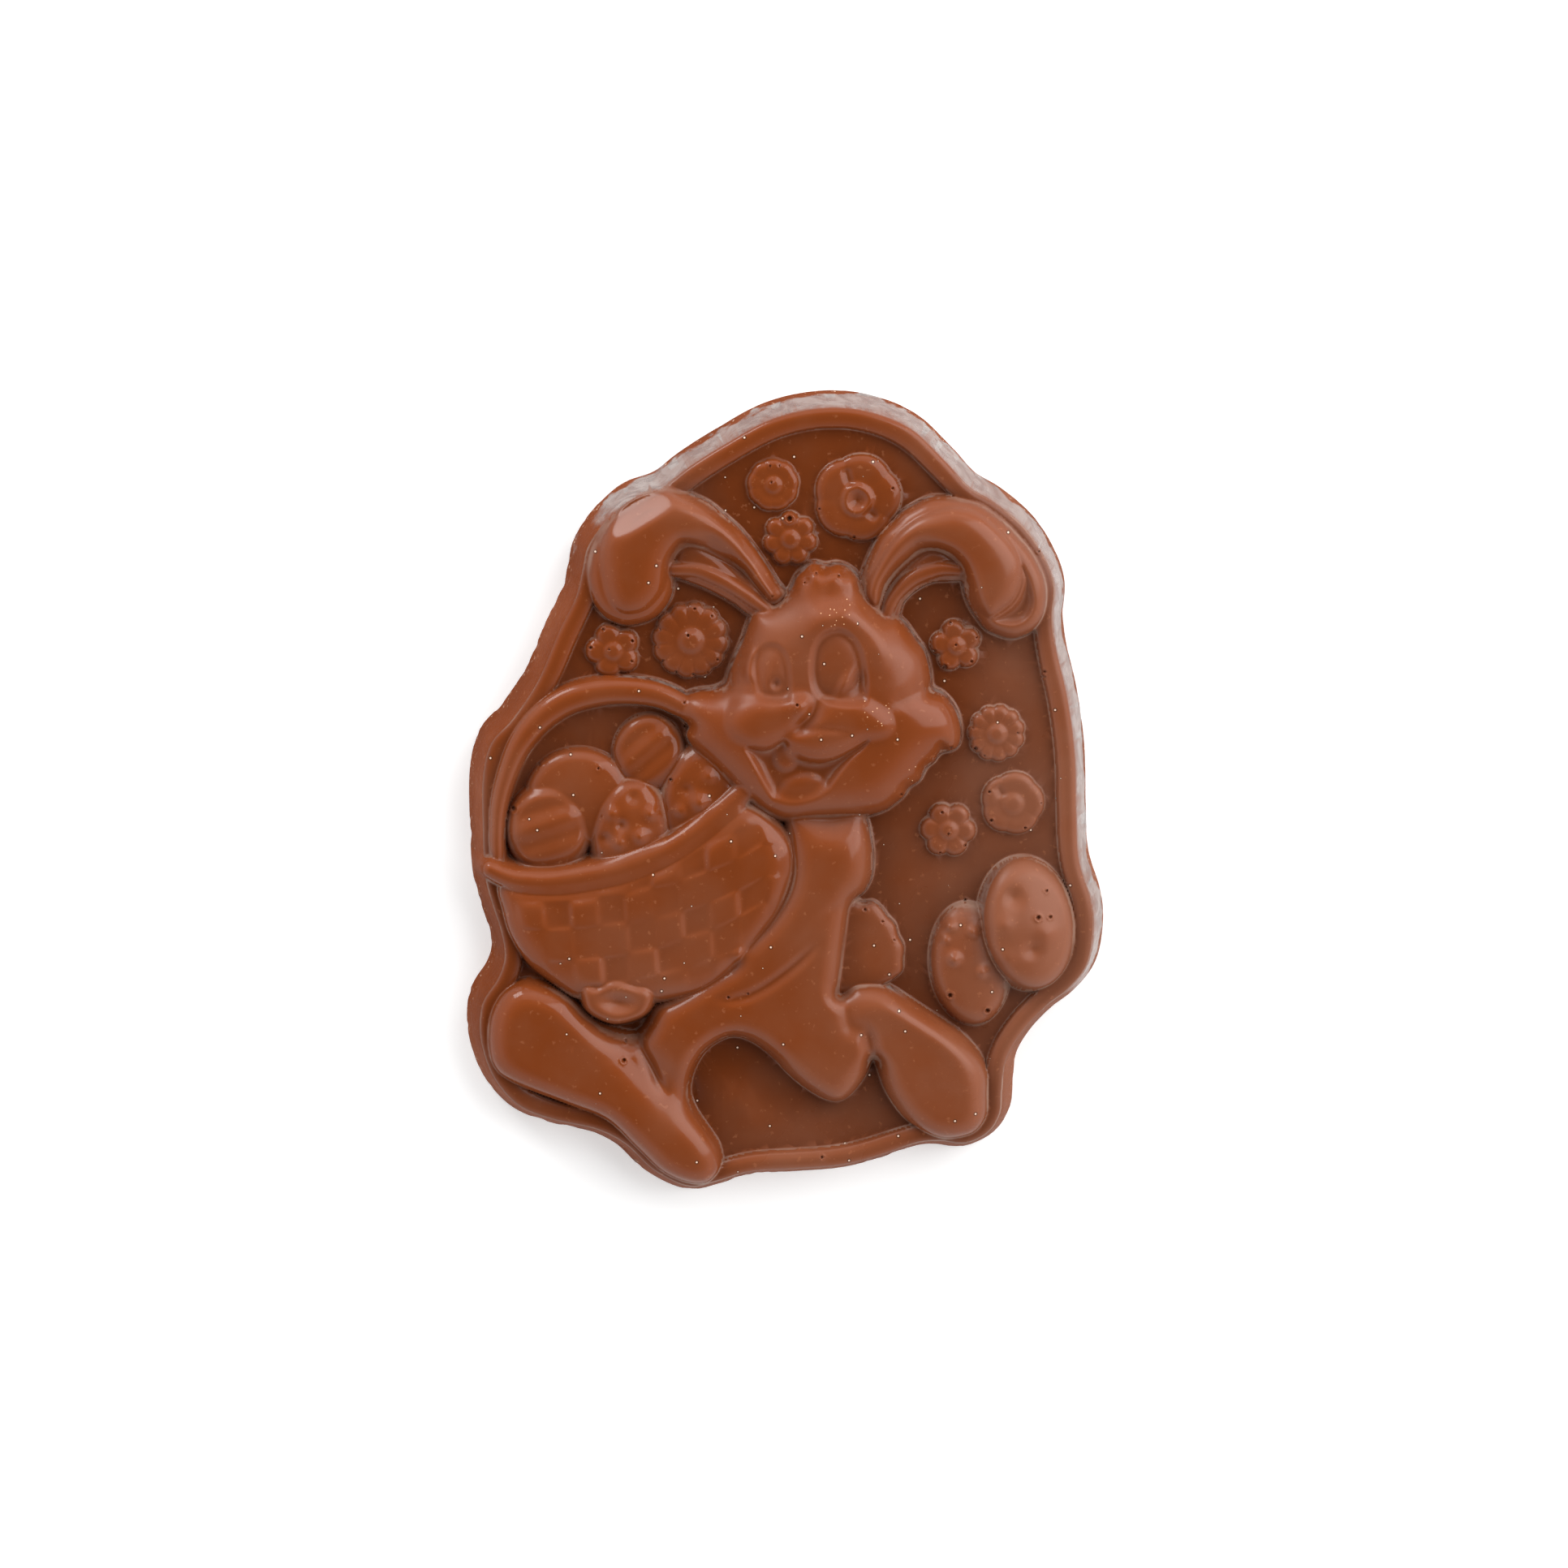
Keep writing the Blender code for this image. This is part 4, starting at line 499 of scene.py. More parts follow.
def depth_inside(x, y, loop):
    """How far points lie inside a closed loop: true near its edge, levelling off towards its middle."""
    pull = np.zeros_like(x)
    inside = np.zeros(x.shape, bool)
    for (ax, ay), (bx, by) in zip(loop, np.roll(loop, -1, axis=0)):
        length = np.hypot(bx - ax, by - ay)
        ux, uy = (bx - ax) / length, (by - ay) / length
        start = (x - ax) * ux + (y - ay) * uy
        end = start - length
        away = np.maximum(((x - ax) * uy - (y - ay) * ux) ** 2, 1e-8)
        pull += (start / np.sqrt(away + start**2) - end / np.sqrt(away + end**2)) / away
        if ay != by:
            inside ^= ((ay > y) != (by > y)) & (x < (bx - ax) * (y - ay) / (by - ay) + ax)
    depth = np.sqrt(2 / np.maximum(pull, 1e-12))
    return np.where(inside, depth, -depth)


def distance_along(x, y, path, radii):
    """Distance from an open path, as a share of the radius there, and how far along the path that is."""
    nearest = np.full(x.shape, np.inf)
    along = np.zeros(x.shape)
    for i, ((ax, ay), (bx, by)) in enumerate(zip(path[:-1], path[1:])):
        dx, dy = bx - ax, by - ay
        share = np.clip(((x - ax) * dx + (y - ay) * dy) / (dx * dx + dy * dy), 0, 1)
        radius = radii[i] + share * (radii[i + 1] - radii[i])
        distance = np.hypot(x - ax - share * dx, y - ay - share * dy) / radius
        along = np.where(distance < nearest, i + share, along)
        nearest = np.minimum(distance, nearest)
    return nearest, along / (len(path) - 1)


def evenly(values, share):
    """The values spread evenly from 0 to 1, read at share."""
    values = np.atleast_1d(values)
    return np.interp(share, np.linspace(0, 1, len(values)), values)


def rounded(share, fullness):
    """A rise from 0 to 1, steep at first and level at the end."""
    return (1 - (1 - np.clip(share, 0, 1)) ** 2) ** fullness


class Relief:
    """Heights over the plate's field, built up form by form at fixed points."""

    def __init__(self, x, y):
        self.x, self.y = x, y
        self.height = np.zeros_like(x)

    def near(self, points, margin):
        points = np.atleast_2d(points)
        low, high = points.min(axis=0) - margin, points.max(axis=0) + margin
        found = (self.x > low[0]) & (self.x < high[0]) & (self.y > low[1]) & (self.y < high[1])
        return np.nonzero(found)[0]

    def within(self, outline, margin):
        """The points in or near a closed outline, and how far inside it each lies."""
        loop = curve_through(outline)
        at = self.near(loop, margin)
        return at, depth_inside(self.x[at], self.y[at], loop)

    def lay(self, at, height, fillet=FOOT_FILLET):
        """Lays a form over what is there, with a fillet along its foot."""
        gap = np.maximum(fillet - np.abs(self.height[at] - height), 0) / fillet
        self.height[at] = np.maximum(self.height[at], height) + gap**2 * fillet / 4

    def pad(self, outline, side, rise, edge, fillet=FOOT_FILLET, fullness=0.6):
        """A form over a closed outline: a steep side, then a rounded rise, level past the edge width."""
        at, depth = self.within(outline, FORM_MARGIN)
        top = side + rise * rounded(depth / edge, fullness)
        self.lay(at, top + np.minimum(depth, 0) * SIDE_SLOPE, fillet)

    def swell(self, outline, rise, edge, soft=0.3, fullness=1.0):
        """Raises what is inside a closed outline or, with a negative rise, sinks it, with a soft start."""
        at, depth = self.within(outline, soft)
        depth = np.where(np.abs(depth) < soft, (depth + soft) ** 2 / (4 * soft), np.maximum(depth, 0))
        self.height[at] += rise * rounded(depth / edge, fullness)

    def shave(self, outline, place, heading, level, slope, soft=0.4):
        """Planes a form off to a slant through a place, rising along a heading in degrees."""
        at, depth = self.within(outline, 0)
        along = self.turned(at, place, heading)[0]
        over = self.height[at] - level - slope * along
        over = 0.5 * (over + np.sqrt(over**2 + soft**2))
        self.height[at] -= np.where(along < SHAVE_REACH, over, 0) * np.clip(depth / SHAVE_EDGE, 0, 1)

    def roll(self, points, radii, side, rise, fillet=FOOT_FILLET):
        """A round-backed roll along a path."""
        path = curve_through(points, closed=False, spacing=0.8)
        path_radii = evenly(radii, np.linspace(0, 1, len(path)))
        at = self.near(path, max(radii) + FORM_MARGIN)
        distance, along = distance_along(self.x[at], self.y[at], path, path_radii)
        outside = np.maximum(distance - 1, 0) * evenly(radii, along)
        back = np.sqrt(np.maximum(1 - distance**2, 0))
        self.lay(at, evenly(side, along) + evenly(rise, along) * back - outside * SIDE_SLOPE, fillet)

    def line(self, points, width, rise, fade=0.15):
        """A soft ridge or, with a negative rise, a groove along a path, fading out at its ends."""
        path = curve_through(points, closed=False)
        at = self.near(path, LINE_REACH * width)
        distance, along = distance_along(self.x[at], self.y[at], path, np.full(len(path), width))
        ends = np.clip(np.minimum(along, 1 - along) / fade, 0, 1)
        self.height[at] += rise * np.exp(-distance**2) * ends**2 * (3 - 2 * ends)

    def bump(self, centre, width, length, rise, lean=0.0):
        """A soft bump or, with a negative rise, a dimple."""
        at = self.near(centre, BUMP_REACH * max(width, length))
        u, v = self.turned(at, centre, lean)
        self.height[at] += rise * np.exp(-BUMP_FALL * ((u / width) ** 2 + (v / length) ** 2))

    def egg(self, centre, width, length, lean, side, rise, fall=(0, 0)):
        """A domed oval on a steep side, whose top may fall away towards +X and +Y."""
        at = self.near(centre, length + FORM_MARGIN)
        u, v = self.turned(at, centre, lean)
        share = np.hypot(u / width, v / length)
        depth = (1 - share) * width
        dome = 0.5 * rounded(depth / EGG_SHOULDER, 0.75) + 0.5 * np.maximum(1 - share**2, 0)
        fallen = fall[0] * (self.x[at] - centre[0]) + fall[1] * (self.y[at] - centre[1])
        self.lay(at, side + rise * dome - fallen + np.minimum(depth, 0) * SIDE_SLOPE)

    def turned(self, at, centre, lean):
        c, s = np.cos(np.radians(lean)), np.sin(np.radians(lean))
        dx, dy = self.x[at] - centre[0], self.y[at] - centre[1]
        return dx * c + dy * s, dy * c - dx * s

    def flower(self, centre, radius, petals, turn, height, notch, valley, heart):
        """Petals round a heart: a notched rim, valleys that run in from the notches, and a dome or dimple."""
        at = self.near(centre, radius + FORM_MARGIN)
        dx, dy = self.turned(at, centre, 0)
        reach = np.hypot(dx, dy)
        petal = np.abs(np.cos((np.arctan2(dy, dx) - np.radians(turn)) * petals / 2))
        depth = radius * (1 - notch * (1 - petal)) - reach
        inside = np.minimum(reach / radius, 1)
        top = PETAL_RISE * height * rounded(depth / (PETAL_SHOULDER * radius), 0.75)
        top -= valley * (1 - petal) ** 2 * inside**2
        dome = heart * np.exp(-((inside / HEART_REACH) ** 4))
        top += dome - PETAL_DISH * np.exp(-((inside / DISH_REACH) ** 6))
        self.lay(at, PETAL_SIDE * height + top + np.minimum(depth, 0) * SIDE_SLOPE)


def add_border(relief, depth):
    """The convex band round the plate, highest a little way in, with a steep side at its inner edge."""
    outer = 0.5 + 0.5 * rounded(depth / BORDER_CROWN_IN, 0.5)
    run = np.clip((depth - BORDER_CROWN_IN) / (BORDER_WIDTH - BORDER_CROWN_IN), 0, 1)
    inner = 1 - BORDER_FALL * run**2
    band = BORDER_CROWN * np.where(depth < BORDER_CROWN_IN, outer, inner)
    beyond = np.maximum(depth - BORDER_WIDTH, 0)
    relief.lay(np.arange(len(depth)), band - beyond * SIDE_SLOPE)


def add_ears(relief):
    relief.pad(LEFT_EAR_HOLLOW, 1.2, 0.9, 2.2)
    relief.roll(LEFT_EAR_RIM, [1.2, 1.35, 1.3, 1.1], 1.2, 1.4)
    relief.pad(LEFT_EAR, 0.9, 2.2, 2.4, fullness=0.75)
    relief.swell(LEFT_EAR_FRONT, 2.0, 4.6, fullness=0.85)
    relief.shave(LEFT_EAR, (-21.0, 43.9), -60, 2.2, 0.84)
    relief.line(LEFT_EAR_TROUGH, 1.5, -1.0, 0.3)
    relief.pad(RIGHT_EAR_HOLLOW, 1.2, 0.9, 2.2)
    relief.roll(RIGHT_EAR_RIM, [1.1, 1.35, 1.35, 1.1], 1.2, 1.4)
    relief.pad(RIGHT_EAR, 0.9, 2.4, 2.4, fullness=0.75)
    relief.swell(RIGHT_EAR_FRONT, 1.8, 3.6, 0.2, 0.85)
    relief.swell(RIGHT_EAR_CUP, -1.1, 1.4)
    relief.line(RIGHT_EAR_TROUGH, 1.5, -1.0, 0.3)


def add_body(relief):
    relief.pad(TAIL, 1.0, 1.0, 1.8)
    relief.pad(BODY_AND_LEGS, 1.0, 3.6, 3.6, fullness=0.65)
    relief.line(LEG_SLOPE, 3.0, -1.5, 0.35)
    relief.line(RIGHT_LEG_RIDGE, 1.6, 0.45, 0.35)
    relief.line(THIGH_FOLD, 1.5, -0.6, 0.4)
    relief.line(THIGH_CREASE, 1.3, -1.1, 0.4)
    relief.line(LEG_GROOVE, 0.8, -0.7, 0.3)
    relief.pad(ARM, 1.4, 3.6, 4.4, fullness=0.75)
    relief.line(ARM_EDGE, 0.9, -0.55, 0.3)
    relief.bump((7.0, -3.2), 5.0, 3.2, -1.2)


def add_basket(relief):
    for egg in BASKET_EGGS:
        relief.egg(*egg)
    relief.pad(BASKET, 1.7, 3.2, 4.6)
    relief.roll(BASKET_HANDLE, [1.2, 1.25, 1.4, 1.6, 1.9, 2.1, 2.15, 2.1, 2.0, 1.8], 1.0, 1.9)
    relief.roll(BASKET_RIM, [1.5, 1.9, 2.1, 2.1, 2.1, 2.0, 1.9, 1.7, 1.4],
                [2.4, 2.8, 2.9, 2.9, 2.9, 2.8, 2.6, 2.2], [2.0, 2.0, 2.0, 2.0, 1.6, 1.0], 1.4)
    relief.bump((-6.9, -23.1), 1.0, 1.3, 0.7, -45)
    relief.pad(FAR_HAND, 3.7, 1.7, 1.5)
    relief.bump((-24.8, -30.1), 2.9, 1.5, -1.0, -10)


def add_loose_eggs(relief):
    for egg in LOOSE_EGGS:
        relief.egg(*egg)


def add_head(relief):
    relief.pad(HEAD, 1.5, 4.8, 7.0, 0.6, 0.75)
    for eye, edge in ((LEFT_EYE, 2.4), (RIGHT_EYE, 3.4)):
        relief.swell(eye, -1.1, 1.2, 0.45)
        relief.swell(eye, 0.9, edge, 0.5)
    relief.bump((-1.5, 17.4), 0.8, 0.9, -0.6)
    relief.bump((10.6, 17.6), 0.9, 1.6, -0.5, -15)
    relief.bump((8.4, 17.4), 0.8, 2.2, 0.5, -28)
    relief.line(EYE_LID, 0.7, 0.5, 0.3)
    relief.line(BROW, 2.0, 0.8, 0.3)
    relief.swell(MOUTH, -1.8, 1.9, 0.5)
    relief.swell(LEFT_CHEEK, 1.2, 2.8, 0.7)
    relief.swell(RIGHT_CHEEK, 1.3, 3.2, 0.7)
    relief.line(LIP_FOLD, 0.7, -0.25, 0.3)
    relief.line(PHILTRUM, 1.0, -0.4, 0.4)
    relief.bump((1.9, 14.4), 2.0, 1.9, 0.8)
    relief.swell(TOOTH, 0.8, 1.8, 0.4)
    relief.swell(TONGUE, 0.9, 2.2, 0.4)
    relief.line(CHEEK_CREASE, 1.4, -0.5, 0.4)
    relief.line(FUR_NOTCH, 0.8, -0.5, 0.4)


def add_flowers(relief):
    for flower in FLOWERS:
        relief.flower(*flower)
    for fold in PETAL_FOLDS:
        relief.line(fold, 0.7, -0.4, 0.3)
    relief.line(HEART_RING, 0.6, 0.5, 0.25)


def relief_height(x, y, depth):
    relief = Relief(x, y)
    add_border(relief, depth)
    for add in (add_ears, add_body, add_basket, add_loose_eggs, add_head, add_flowers):
        add(relief)
    return FIELD_THICKNESS + relief.height


class PlateEdge:
    """The plate's top edge as a closed curve that can be read at any distance along it."""

    def __init__(self):
        self.points = curve_through(PLATE_EDGE, spacing=0.8)
        ahead, behind = np.roll(self.points, -1, axis=0), np.roll(self.points, 1, axis=0)
        steps = np.linalg.norm(ahead - self.points, axis=1)
        self.along = np.concatenate([[0], np.cumsum(steps)])
        tangent = ahead - behind
        tangent /= np.linalg.norm(tangent, axis=1)[:, None]
        self.outward = np.stack([-tangent[:, 1], tangent[:, 0]], axis=1)

    def read(self, values, along):
        closed = np.vstack([values, values[:1]])
        along = np.mod(along, self.along[-1])
        return np.stack([np.interp(along, self.along, closed[:, i]) for i in (0, 1)], axis=1)

    def nearest(self, x, y):
        own_x, own_y = self.points.T
        gaps = np.hypot(own_x - x[:, None], own_y - y[:, None])
        return self.along[:-1][gaps.argmin(axis=1)]


def flat(vertices):
    return np.array([vertex.co.xy for vertex in vertices])


def grid_over(edge):
    """A flat square grid over the plate, cut back to the cells well inside its edge."""
    low, high = edge.points.min(axis=0), edge.points.max(axis=0)
    middle, half = (low + high) / 2, (high - low) / 2 + GRID_PITCH
    cells = np.ceil(2 * half / GRID_PITCH).astype(int)
    place = Matrix.Translation((*middle, 0)) @ Matrix.Diagonal((*half, 1, 1))
    sheet = bmesh.new()
    bmesh.ops.create_grid(sheet, x_segments=int(cells[0]), y_segments=int(cells[1]), size=1, matrix=place)
    depth = depth_inside(*flat(sheet.verts).T, edge.points)
    outside = [v for v, d in zip(sheet.verts, depth) if d < EDGE_CLEARANCE * GRID_PITCH]
    bmesh.ops.delete(sheet, geom=outside, context="VERTS")
    while True:
        spurs = [v for v in sheet.verts if not v.link_faces or sum(e.is_boundary for e in v.link_edges) > 2]
        if not spurs:
            return sheet
        bmesh.ops.delete(sheet, geom=spurs, context="VERTS")


def ordered_loop(vertices, edges):
    """The vertices of one closed run of edges, in order and anticlockwise."""
    edges = set(edges)
    loop = [vertices[0]]
    previous = None
    while True:
        step = next(e for e in loop[-1].link_edges if e in edges and e is not previous)
        following = step.other_vert(loop[-1])
        if following is loop[0]:
            break
        loop.append(following)
        previous = step
    x, y = flat(loop).T
    if np.sum(x * np.roll(y, -1) - y * np.roll(x, -1)) < 0:
        loop.reverse()
    return loop


def extrude_border(sheet):
    """Extrudes the sheet's open border, and gives all that is new and its vertices alone."""
    grown = bmesh.ops.extrude_edge_only(sheet, edges=[e for e in sheet.edges if e.is_boundary])["geom"]
    return grown, [g for g in grown if isinstance(g, bmesh.types.BMVert)]


def grow_to_edge(sheet, edge):
    """Extrudes the grid's border to the plate's edge, evenly spaced, and relaxes the cells near it."""
    grown, vertices = extrude_border(sheet)
    loop = ordered_loop(vertices, [g for g in grown if isinstance(g, bmesh.types.BMEdge) and g.is_boundary])
    length = edge.along[-1]
    along = edge.nearest(*flat(loop).T)
    steps = np.mod(np.diff(along, append=along[:1]) + length / 2, length) - length / 2
    even = np.sign(steps.sum()) * np.arange(len(loop)) * length / len(loop)
    drift = along[0] + np.concatenate([[0], np.cumsum(steps[:-1])]) - even
    for _ in range(EVENING_PASSES):
        drift = (np.roll(drift, 1) + drift + np.roll(drift, -1)) / 3
    along = drift + even
    for vertex, place in zip(loop, edge.read(edge.points, along)):
        vertex.co = (*place, 0)
    near = set(loop)
    for _ in range(RELAXED_RINGS):
        near |= {e.other_vert(v) for v in near for e in v.link_edges}
    inner = list(near - set(loop))
    for _ in range(RELAXING_PASSES):
        bmesh.ops.smooth_vert(sheet, verts=inner, factor=0.5, use_axis_x=True, use_axis_y=True)
    return loop, along


def add_small_forms(relief):
    """The rest of the large flower's heart, and the lumps and dents of the eggs and the tuft."""
    relief.line(HEART_REST, 0.6, 0.5, 0.38)
    for x, y, width, rise in LUMPS:
        relief.bump((x, y), width, width, rise)


def add_weave(relief):
    """Squares that stand and lie in turn over the basket's front, in rows that rise with the rim."""
    at, depth = relief.within(BASKET, 0)
    x, y = relief.x[at], relief.y[at]
    rim = np.interp(x, *BASKET_RIM.T)
    below = rim - y
    strand = (x - WEAVE_LEAN * below) / WEAVE_CELL[0]
    row = (WEAVE_CURVE * rim - y) / WEAVE_CELL[1]
    squares = np.tanh(WEAVE_CRISP * np.sin(np.pi * strand)) * np.tanh(WEAVE_CRISP * np.sin(np.pi * row))
    varied, tilted = (np.sin(a * np.floor(strand) + b * np.floor(row)) for a, b in WEAVE_SHUFFLES)
    tilt = tilted * (np.mod(strand, 1) - 0.5) * np.abs(squares)
    squares = squares * (WEAVE_SHARES[0] + WEAVE_SHARES[1] * varied) + WEAVE_TILT * tilt
    inner = rounded((depth - WEAVE_MARGIN[0]) / WEAVE_MARGIN[1], 1)
    inner *= rounded((below - RIM_MARGIN[0]) / RIM_MARGIN[1], 1)
    relief.height[at] += WEAVE_RISE * squares * inner


def add_stripes(relief):
    for which, direction, spacing, rise in EGG_STRIPES:
        centre, width, length, lean, _, _ = BASKET_EGGS[which]
        at = relief.near(centre, length)
        u, v = relief.turned(at, centre, direction)
        side, along = relief.turned(at, centre, lean)
        inner = np.clip(STRIPE_FADE * (1 - np.hypot(side / width, along / length)), 0, 1)
        relief.height[at] += rise * inner * np.sin(2 * np.pi * v / spacing)


def add_holes(relief):
    height, place, spread = PINHOLE_LIP
    for x, y, shown in PINHOLES:
        radius = shown * PINHOLE_SIZE
        at = relief.near((x, y), 5 * radius)
        away = np.hypot(relief.x[at] - x, relief.y[at] - y) / radius
        lip = height * radius * np.exp(-((away - place) / spread) ** 2)
        relief.height[at] += lip - PINHOLE_DEPTH * radius * np.exp(-away**4)


def add_waves(relief):
    """The faint unevenness of a surface that set in its mould."""
    for length, rise in WAVES:
        place = np.stack([relief.x, relief.y, np.full_like(relief.x, length)], axis=1) / length
        relief.height += rise * np.array([noise_at(Vector(p)) for p in place])


def raise_relief(sheet, edge):
    """Lifts every point of the flat sheet to the height of the relief there."""
    places = flat(sheet.verts).T
    relief = Relief(*places)
    relief.height = relief_height(*places, np.maximum(depth_inside(*places, edge.points), 0))
    for add in (add_small_forms, add_weave, add_stripes, add_waves, add_holes):
        add(relief)
    for vertex, height in zip(sheet.verts, relief.height):
        vertex.co.z = height


def add_wall(sheet, edge, loop, along):
    """Extrudes the plate's edge down its drafted side to the flat back."""
    outward = edge.read(edge.outward, along)
    tops = np.array([vertex.co for vertex in loop])
    for ring in range(1, WALL_RINGS + 1):
        share = ring / WALL_RINGS
        made = set(extrude_border(sheet)[1])
        loop = [next(e.other_vert(v) for e in v.link_edges if e.other_vert(v) in made) for v in loop]
        for vertex, top, out in zip(loop, tops, outward):
            place = Vector((*(top[:2] + share * WALL_DRAFT * out), (1 - share) * top[2]))
            facing = min(max(NICK_MIDDLE - (place.x + 0.5 * place.y) / NICK_FALL, NICK_LEAST), 1)
            rough = sum(part * noise_at(place * size) for size, part in NICK_SIZES)
            vertex.co = place - Vector((*out, 0)) * max(facing * share * NICK_DEPTH * rough, 0)


def simplified(sheet):
    """The sheet as a mesh with fewer triangles, more of them where the relief bends."""
    mesh = as_mesh("fine_relief", sheet)
    fine = placed("fine_relief", mesh)
    decimate = fine.modifiers.new("simplify", "DECIMATE")
    mesh.calc_loop_triangles()
    decimate.ratio = min(1, TRIANGLES / len(mesh.loop_triangles))
    found = fine.evaluated_get(bpy.context.evaluated_depsgraph_get())
    coarse = bmesh.new()
    coarse.from_mesh(found.to_mesh())
    found.to_mesh_clear()
    bpy.data.objects.remove(fine)
    bpy.data.meshes.remove(mesh)
    return coarse


def seal_back(body):
    """Closes the open underside with one flat face, centres the footprint, and goes to metres."""
    rim = [e for e in body.edges if e.is_boundary]
    for vertex in {v for e in rim for v in e.verts}:
        vertex.co.z = 0
    bmesh.ops.holes_fill(body, edges=rim, sides=0)
    bmesh.ops.triangulate(body, faces=body.faces[:])
    bmesh.ops.recalc_face_normals(body, faces=body.faces[:])
    points = flat(body.verts)
    middle = (points.min(axis=0) + points.max(axis=0)) / 2
    centred = Matrix.Scale(MM, 4) @ Matrix.Translation((-middle[0], -middle[1], 0))
    bmesh.ops.transform(body, matrix=centred, verts=body.verts[:])


def keep_in_box(body):
    """Holds every point inside the box of the CAD model."""
    low, high = cad_box
    for vertex in body.verts:
        vertex.co = [min(max(c, a), b) for c, a, b in zip(vertex.co, low, high)]


def joining(operation, swapped=False):
    """A method that joins its two values by one operation."""
    def join(self, other):
        first, second = (other, self) if swapped else (self, other)
        return Shade.node("Math", {"operation": operation}, _0=first, _1=second)
    return join


class Shade:
    """A shader socket that arithmetic can be done on."""

    tree = None
    __add__, __radd__ = joining("ADD"), joining("ADD", True)
    __sub__, __rsub__ = joining("SUBTRACT"), joining("SUBTRACT", True)
    __mul__, __rmul__ = joining("MULTIPLY"), joining("MULTIPLY", True)

    def __init__(self, socket):
        self.socket = socket

    @classmethod
    def node(cls, kind, settings=None, out=0, **values):
        """A new node with its settings and values, read at one of its outputs."""
        made = cls.tree.nodes.new("ShaderNode" + kind)
        for name, value in (settings or {}).items():
            setattr(made, name, value)
        cls.feed(made, **values)
        return cls(made.outputs[out])

    @classmethod
    def feed(cls, made, **values):
        """Links or sets a node's inputs, by name, or by number after an underscore."""
        for name, value in values.items():
            target = made.inputs[int(name[1:])] if name[0] == "_" else made.inputs[name.replace("_", " ")]
            if isinstance(value, Shade):
                cls.tree.links.new(value.socket, target)
            else:
                target.default_value = value

    def clamp(self, low=0.0, high=1.0):
        return Shade.node("Clamp", Value=self, Min=low, Max=high)


def ramp(value, stops):
    """A brightness read from a value, in straight lines from stop to stop."""
    made = Shade.node("ValToRGB", _0=value)
    elements = made.socket.node.color_ramp.elements
    elements.remove(elements[1])
    for i, (at, brightness) in enumerate(stops):
        element = elements.new(at) if i else elements[0]
        element.position = at
        element.color = (brightness, brightness, brightness, 1)
    return made


def mixed(share, first, second):
    """Two colours mixed by a share of the second."""
    first, second = (value if isinstance(value, Shade) else (*value, 1) for value in (first, second))
    return Shade.node("Mix", {"data_type": "RGBA"}, out=2, _0=share, _6=first, _7=second)


def scaled(colour, share):
    return Shade.node("VectorMath", {"operation": "SCALE"}, _0=colour, Scale=share)


def distance(place, spot):
    return Shade.node("VectorMath", {"operation": "DISTANCE"}, out=1, _0=place, _1=spot)


def axes(vector):
    parts = Shade.node("SeparateXYZ", _0=vector).socket.node.outputs
    return [Shade(part) for part in parts]


def past(value, start, steepness):
    """From 0 where a value reaches a start, up to 1."""
    return ((value - start) * steepness).clamp()


def short_of(value, end, steepness):
    """From 0 where a value reaches an end, back up to 1 before it."""
    return ((end - value) * steepness).clamp()


def noise(place, scale, detail=3.0, roughness=0.5, distortion=0.0):
    return Shade.node("TexNoise", Vector=place, Scale=scale, Detail=detail, Roughness=roughness,
                      Distortion=distortion)


def scattered(place, scale):
    """Points strewn over the face: the distance to the nearest, in cells, and a chance of its own."""
    flat = {"voronoi_dimensions": "2D"}
    near, middle = (Shade.node("TexVoronoi", flat, out, Vector=place, Scale=scale) for out in (0, 2))
    return near, Shade.node("TexWhiteNoise", Vector=middle)


def pore_glints(place):
    """Painted glints: tiny light dots where air bubbles opened, and painted shade in the dark rings round
    them.
    """
    near, chance = scattered(place, PORE_SCALE)
    size = past(chance, *PORE_RARITY) * PORE_RADIUS
    return short_of(near, size, PORE_CRISP), short_of(near, size * PORE_RIM, PORE_CRISP / 2)


def sparkles(place):
    """Painted glints: fine bright sparkles on the brow, the muzzle, the nose and the fur."""
    near, chance = scattered(place, SPARKLE_SCALE)
    spread = sum(short_of(distance(place, spot), reach, SPARKLE_FADE) for spot, reach in SPARKLES)
    return short_of(near, *SPARKLE_RADIUS) * past(chance + spread * SPARKLE_SHARE, *SPARKLE_RARITY)


def begun(finish):
    """A finish, or the studio's light, ready for its nodes."""
    finish.use_nodes = True
    Shade.tree = finish.node_tree
    return finish, Shade.tree.nodes


